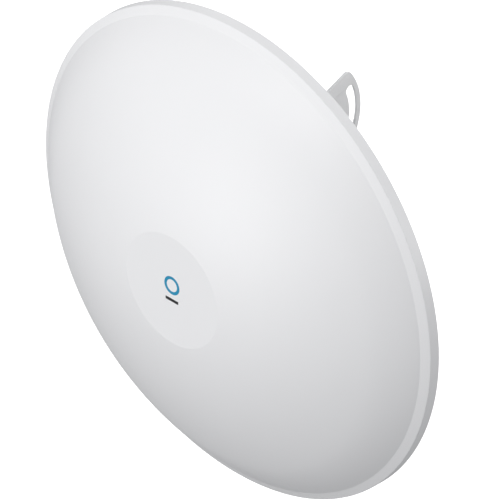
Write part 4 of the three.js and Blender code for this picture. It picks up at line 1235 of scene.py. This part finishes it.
def arm_mesh():
    """The arm in (Y, Z): a tab folded towards the channel's web, and a plate that runs up to the two bolts."""
    bottom_z, top_z = MAST[2] - CLAMP["half_height"], MAST[2] + CLAMP["half_height"]
    fold_y = CLAMP["web_y"] + BEND_OUT
    front_y = CLAMP["web_y"] + 1.5
    low_z, high_z = bottom_z + BEND_OUT + RELIEF, top_z - BEND_OUT - RELIEF
    tab_y = fold_y - BEND_RUN - TAB
    across = math.pi / 2 + SLOT_BOLT_ANGLE
    body = [(front_y + 4, bottom_z), (CLAMP["web_y"] + 30, bottom_z), (CLAMP["web_y"] + 34, top_z - 18)]
    body += arc(SLOT_BOLT, 12, math.radians(-35), across, 16) + arc(PIVOT, 16, across, math.radians(190), 20)
    body += [(CLAMP["web_y"] + 0.3, top_z + 18), (front_y, top_z + 2)]
    half_cut = RELIEF / 2
    upper_cut = arc((fold_y + 2, high_z + half_cut), half_cut, math.pi / 2, -math.pi / 2, 8)
    lower_cut = arc((fold_y + 2, low_z - half_cut), half_cut, math.pi / 2, -math.pi / 2, 8)
    outline = body + [(front_y, high_z + RELIEF)] + upper_cut + [(tab_y, high_z), (tab_y, low_z)] + lower_cut
    outline += [(front_y, low_z - RELIEF), (front_y, bottom_z + 4)]
    mesh = blank("arm", outline, [round_hole(*PIVOT, M10_HOLE), round_hole(*SLOT_BOLT, M10_HOLE)])
    mesh.transform(axes((0, 1, 0), (0, 0, 1), (ARM_OUTER_X - SHEET, 0, 0)))
    place = axes((0, -1, 0), (0, 0, 1), (ARM_OUTER_X, fold_y, 0))
    fold(mesh, place, lambda x, y: low_z - 0.6 < y < high_z + 0.6)
    return mesh


def pole_bracket_mesh():
    """The channel and the arm, one sheet: the channel's web runs on to meet the arm's tab."""
    web_y = CLAMP["web_y"]
    web_end_x = MAST[0] + CLAMP["half_width"]
    fold_x = ARM_OUTER_X - BEND_OUT
    overlap = 1.0
    web_to_mouth = MAST[1] - web_y - NOTCH["mouth"]
    channel = channel_mesh("pole_channel", web_to_mouth, fold_x - TAB + overlap - web_end_x)
    channel.transform(axes((1, 0, 0), (0, 0, -1), (MAST[0], web_y, MAST[2])))
    return combined("folded_pole_bracket", channel, ("UNION", arm_mesh()))


SPANGLE_SCALE = 170.0


def spangle_group():
    """Zinc crystals: each cell gets its own shade and its own gloss."""
    inputs = [("Vector", "NodeSocketVector", None), ("Scale", "NodeSocketFloat", SPANGLE_SCALE)]
    outputs = [("Crystal", "NodeSocketFloat"), ("Gloss", "NodeSocketFloat")]
    tree, entry, leave = new_group("zinc_spangle", inputs, outputs)
    bent = tree.nodes.new("ShaderNodeVectorMath")
    bent.operation = "ADD"
    wobble = tree.nodes.new("ShaderNodeTexNoise")
    wobble.inputs["Scale"].default_value = 60.0
    shift = tree.nodes.new("ShaderNodeVectorMath")
    shift.operation = "SCALE"
    shift.inputs["Scale"].default_value = 0.008
    tree.links.new(entry.outputs["Vector"], wobble.inputs["Vector"])
    tree.links.new(wobble.outputs["Color"], shift.inputs[0])
    tree.links.new(entry.outputs["Vector"], bent.inputs[0])
    tree.links.new(shift.outputs["Vector"], bent.inputs[1])
    cells = tree.nodes.new("ShaderNodeTexVoronoi")
    tree.links.new(bent.outputs["Vector"], cells.inputs["Vector"])
    tree.links.new(entry.outputs["Scale"], cells.inputs["Scale"])
    split = tree.nodes.new("ShaderNodeSeparateColor")
    tree.links.new(cells.outputs["Color"], split.inputs["Color"])
    tree.links.new(maths(tree, "MULTIPLY", split.outputs["Red"], 0.8), leave.inputs["Crystal"])
    tree.links.new(split.outputs["Green"], leave.inputs["Gloss"])
    return tree


zinc_spangle = spangle_group()


def galvanised(name, colour, spangle=SPANGLE_SCALE):
    """Hot-dip zinc: crystals of slightly different shade and gloss, with a fine grain and pale bloom."""
    material, shader, base, place = finish(name, colour, 0.42, 0.85, grain=1500.0, bump=0.00002, patch=18.0,
                                           shade=0.84, dust=0.22, wear=0.25, worn=(0.78, 0.79, 0.8))
    tree = material.node_tree
    crystals = use_group(tree, zinc_spangle, place, Scale=spangle)
    tree.links.new(blended(tree, crystals.outputs["Crystal"], base, tuple(c * 0.87 for c in colour)),
                   shader.inputs["Base Color"])
    gloss = maths(tree, "MULTIPLY_ADD", crystals.outputs["Gloss"], 0.22)
    gloss.node.inputs[2].default_value = 0.3
    tree.links.new(gloss, shader.inputs["Roughness"])
    return material


hot_dip_zinc = galvanised("hot_dip_zinc", (0.66, 0.68, 0.70))
pole_bracket = finished("folded_pole_bracket", pole_bracket_mesh(), hot_dip_zinc, "pole_mount",
                        ["pole_bracket"], sharp_degrees=50)

# ---------------------------------------------------------------------------------------------------------
# The clamp jaw: the same channel without the arm, behind the mast and facing the other way. It is drawn up
# by the two long clamp bolts.
# ---------------------------------------------------------------------------------------------------------
jaw_back_y = about_dish("clamp_jaw")[1].y
jaw = channel_mesh("folded_jaw", jaw_back_y - MAST[1] - NOTCH["mouth"])
jaw.transform(axes((1, 0, 0), (0, 0, 1), (MAST[0], jaw_back_y, MAST[2])))
clamp_jaw = finished("folded_jaw", jaw, hot_dip_zinc, "clamp_jaw", ["clamp_jaw"], sharp_degrees=50)

# The backing plate behind the reflector's flat, inside the dish, is galvanised too.
dress(["backing_plate"], hot_dip_zinc)

# ---------------------------------------------------------------------------------------------------------
# The hardware: zinc-plated flange bolts and nuts with chamfered hexes and cut threads. The M6 bolts hold the
# base plate, the M10 pair is the elevation pivot and its lock, and the long M8 pair draws the clamp up.
# ---------------------------------------------------------------------------------------------------------
M6 = {"r": 3.0, "hex_r": 5.8, "head": 4.2, "flange_r": 7.0, "flange": 1.2, "pitch": 1.0}
M8 = {"r": 4.0, "hex_r": 7.4, "head": 5.0, "flange_r": 8.6, "flange": 1.4, "pitch": 1.25}
M10 = {"r": 5.0, "hex_r": 9.2, "head": 6.0, "flange_r": 10.4, "flange": 1.8, "pitch": 1.5}
CHAMFER = 0.9


def hex_rings(size):
    """The rings of a flanged hex from the flange's face, at y = 0, to its chamfered top."""
    apothem = size["hex_r"] * math.cos(math.pi / 6)
    top = size["flange"] + size["head"]
    rings = [("round", size["flange_r"] - 0.3, 0), ("round", size["flange_r"], 0.25),
             ("round", size["flange_r"], size["flange"] * 0.55),
             ("round", size["flange_r"] * 0.93, size["flange"] * 0.85),
             ("round", size["hex_r"], size["flange"]), ("hex", apothem, size["flange"] + 0.1)]
    for i in range(6):
        drop = CHAMFER * (1 - i / 5)
        rings.append(("hex", apothem, top - drop, size["hex_r"] - (CHAMFER - drop) * 1.35))
    return rings


def flange_bolt(name, size, length, threaded):
    """A flanged hex bolt along Y, its flange's face at y = 0 and its shank below."""
    shank = thread(size["r"], -length, threaded - length, size["pitch"])
    if threaded < length:
        shank.append(("round", size["r"] * 0.99, -0.2))
    return ringed(name, shank + [("round", size["r"], 0)] + hex_rings(size))


def flange_nut(name, size):
    """A flanged hex nut with its flange's face at y = 0."""
    bore = size["r"] + 0.15
    top = size["flange"] + size["head"]
    inside = [("round", bore + 0.6, top), ("round", bore, top - 0.6), ("round", bore, 0.6),
              ("round", bore + 0.6, 0)]
    return ringed(name, hex_rings(size) + inside, cyclic=True)


def washer_ring(name, inner_r, outer_r, thickness):
    """A flat washer from y = 0 up, its edges eased."""
    edge = 0.2
    rings = [("round", outer_r - edge, 0), ("round", outer_r, edge), ("round", outer_r, thickness - edge),
             ("round", outer_r - edge, thickness), ("round", inner_r + edge, thickness),
             ("round", inner_r, thickness - edge), ("round", inner_r, edge), ("round", inner_r + edge, 0)]
    return ringed(name, rings, cyclic=True)


def points_in_a_row(tree, entry):
    """Points from the start, one step apart."""
    row = tree.nodes.new("GeometryNodeMeshLine")
    tree.links.new(entry.outputs["Count"], row.inputs["Count"])
    tree.links.new(entry.outputs["Start"], row.inputs["Start Location"])
    tree.links.new(entry.outputs["Step"], row.inputs["Offset"])
    return row.outputs["Mesh"]


def points_on_corners(tree, entry):
    """The four corners of an upright rectangle about the axis."""
    grid = tree.nodes.new("GeometryNodeMeshGrid")
    grid.inputs["Vertices X"].default_value = 2
    grid.inputs["Vertices Y"].default_value = 2
    tree.links.new(entry.outputs["Width"], grid.inputs["Size X"])
    tree.links.new(entry.outputs["Height"], grid.inputs["Size Y"])
    stand = tree.nodes.new("GeometryNodeTransform")
    stand.inputs["Rotation"].default_value = (math.pi / 2, 0, 0)
    tree.links.new(grid.outputs["Mesh"], stand.inputs["Geometry"])
    return stand.outputs["Geometry"]


ROW_INPUTS = [("Count", "NodeSocketInt"), ("Start", "NodeSocketVector"), ("Step", "NodeSocketVector")]
CORNER_INPUTS = [("Width", "NodeSocketFloat"), ("Height", "NodeSocketFloat")]
row_pattern = repeat_tree("hardware_in_a_row", ROW_INPUTS, points_in_a_row)
corner_pattern = repeat_tree("bolts_on_corners", CORNER_INPUTS, points_on_corners)


def add_hardware(name, unit, pattern, body, nodes, **values):
    """Zinc-plated hardware repeated by a pattern, standing for its CAD nodes."""
    piece = finished(name, repeated(name, unit, pattern, zinc, **values), zinc, body, nodes)


def add_pair(name, unit, turn, first, second, body, nodes):
    """Two of the same, turned the same way, at two places about the dish."""
    unit.transform(turn)
    step = tuple(Vector(second) - Vector(first))
    add_hardware(name, unit, row_pattern, body, nodes, Count=2, Start=tuple(first), Step=step)


BASE_BOLT_LENGTH = 12.0
THREADED = {"base": 9.0, "elevation": 16.0, "clamp": 70.0}
base_bolt = flange_bolt("base_bolt", M6, BASE_BOLT_LENGTH, THREADED["base"])
base_bolt.transform(Matrix.Translation((0, about_dish("bracket_bolt_1")[0].y + BASE_BOLT_LENGTH, 0)))
add_hardware("base_bolts", base_bolt, corner_pattern, "dish_assembly",
             [f"bracket_bolt_{i}" for i in range(1, 5)], Width=2 * BASE["bolt_x"], Height=2 * BASE["bolt_z"])

HEAD_TO_RIGHT = Matrix.Rotation(-math.pi / 2, 4, "Z")
HEAD_TO_LEFT = Matrix.Rotation(math.pi / 2, 4, "Z")
HEAD_TO_FRONT = Matrix.Rotation(math.pi, 4, "X")
NO_TURN = Matrix.Identity(4)
bolt_tip_x = about_dish("pivot_bolt")[0].x
bolt_length = about_dish("pivot_bolt")[1].x - M10["head"] - M10["flange"] - bolt_tip_x
head_x = bolt_tip_x + bolt_length
washer_x = about_dish("pivot_washer")[0].x
nut_x = about_dish("pivot_nut")[1].x
elevation_bolt = flange_bolt("elevation_bolt", M10, bolt_length, THREADED["elevation"])
add_pair("elevation_bolts", elevation_bolt, HEAD_TO_RIGHT,
         (head_x, *PIVOT), (head_x, *SLOT_BOLT), "pole_mount", ["pivot_bolt", "slot_bolt"])
add_pair("elevation_washers", washer_ring("elevation_washer", M10_HOLE, 10.2, 2.0), HEAD_TO_RIGHT,
         (washer_x, *PIVOT), (washer_x, *SLOT_BOLT), "pole_mount", ["pivot_washer", "slot_washer"])
add_pair("elevation_nuts", flange_nut("elevation_nut", M10), HEAD_TO_LEFT,
         (nut_x, *PIVOT), (nut_x, *SLOT_BOLT), "pole_mount", ["pivot_nut", "slot_nut"])

clamp_head_y = about_dish("clamp_bolt_left")[0].y + M8["head"] + M8["flange"]
clamp_length = about_dish("clamp_bolt_left")[1].y - clamp_head_y
clamp_nut_y = about_dish("clamp_nut_left")[0].y
clamp_xs = (MAST[0] - CLAMP["bolt_x"], MAST[0] + CLAMP["bolt_x"])
add_pair("clamp_bolts", flange_bolt("clamp_bolt", M8, clamp_length, THREADED["clamp"]), HEAD_TO_FRONT,
         (clamp_xs[0], clamp_head_y, MAST[2]), (clamp_xs[1], clamp_head_y, MAST[2]), "pole_mount",
         ["clamp_bolt_left", "clamp_bolt_right"])
add_pair("clamp_nuts", flange_nut("clamp_nut", M8), NO_TURN,
         (clamp_xs[0], clamp_nut_y, MAST[2]), (clamp_xs[1], clamp_nut_y, MAST[2]), "clamp_jaw",
         ["clamp_nut_left", "clamp_nut_right"])

# ---------------------------------------------------------------------------------------------------------
# The earth point under the barrel: a washer and a pan-head screw in the base plate, for the ground wire
# that an installer brings.
# ---------------------------------------------------------------------------------------------------------
EARTH_SCREW = {"shank_r": 2.4, "head_r": 4.8, "head": 3.2, "length": 4.4, "pitch": 0.8}
earth_seat_y = about_dish("earth_washer")[0].y
earth_ring = washer_ring("earth_ring", EARTH["hole_r"], 6.0, 1.0)
earth_ring.transform(Matrix.Translation((EARTH["x"], earth_seat_y, EARTH["z"])))
earth_washer = finished("earth_ring", earth_ring, zinc, "dish_assembly", ["earth_washer"])
earth_head_y = about_dish("earth_screw")[1].y - EARTH_SCREW["head"]
earth_pan = socket_screw("earth_pan", **EARTH_SCREW)
earth_pan.transform(Matrix.Translation((EARTH["x"], earth_head_y, EARTH["z"])))
earth_screw = finished("earth_pan", earth_pan, zinc, "dish_assembly", ["earth_screw"])

# ---------------------------------------------------------------------------------------------------------
# The two boxes: the CAD model's and the visual model's, for comparison.
# ---------------------------------------------------------------------------------------------------------
size = {"cad_box": [list(corner) for corner in cad_box], "visual_box": [list(corner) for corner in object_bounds()]}
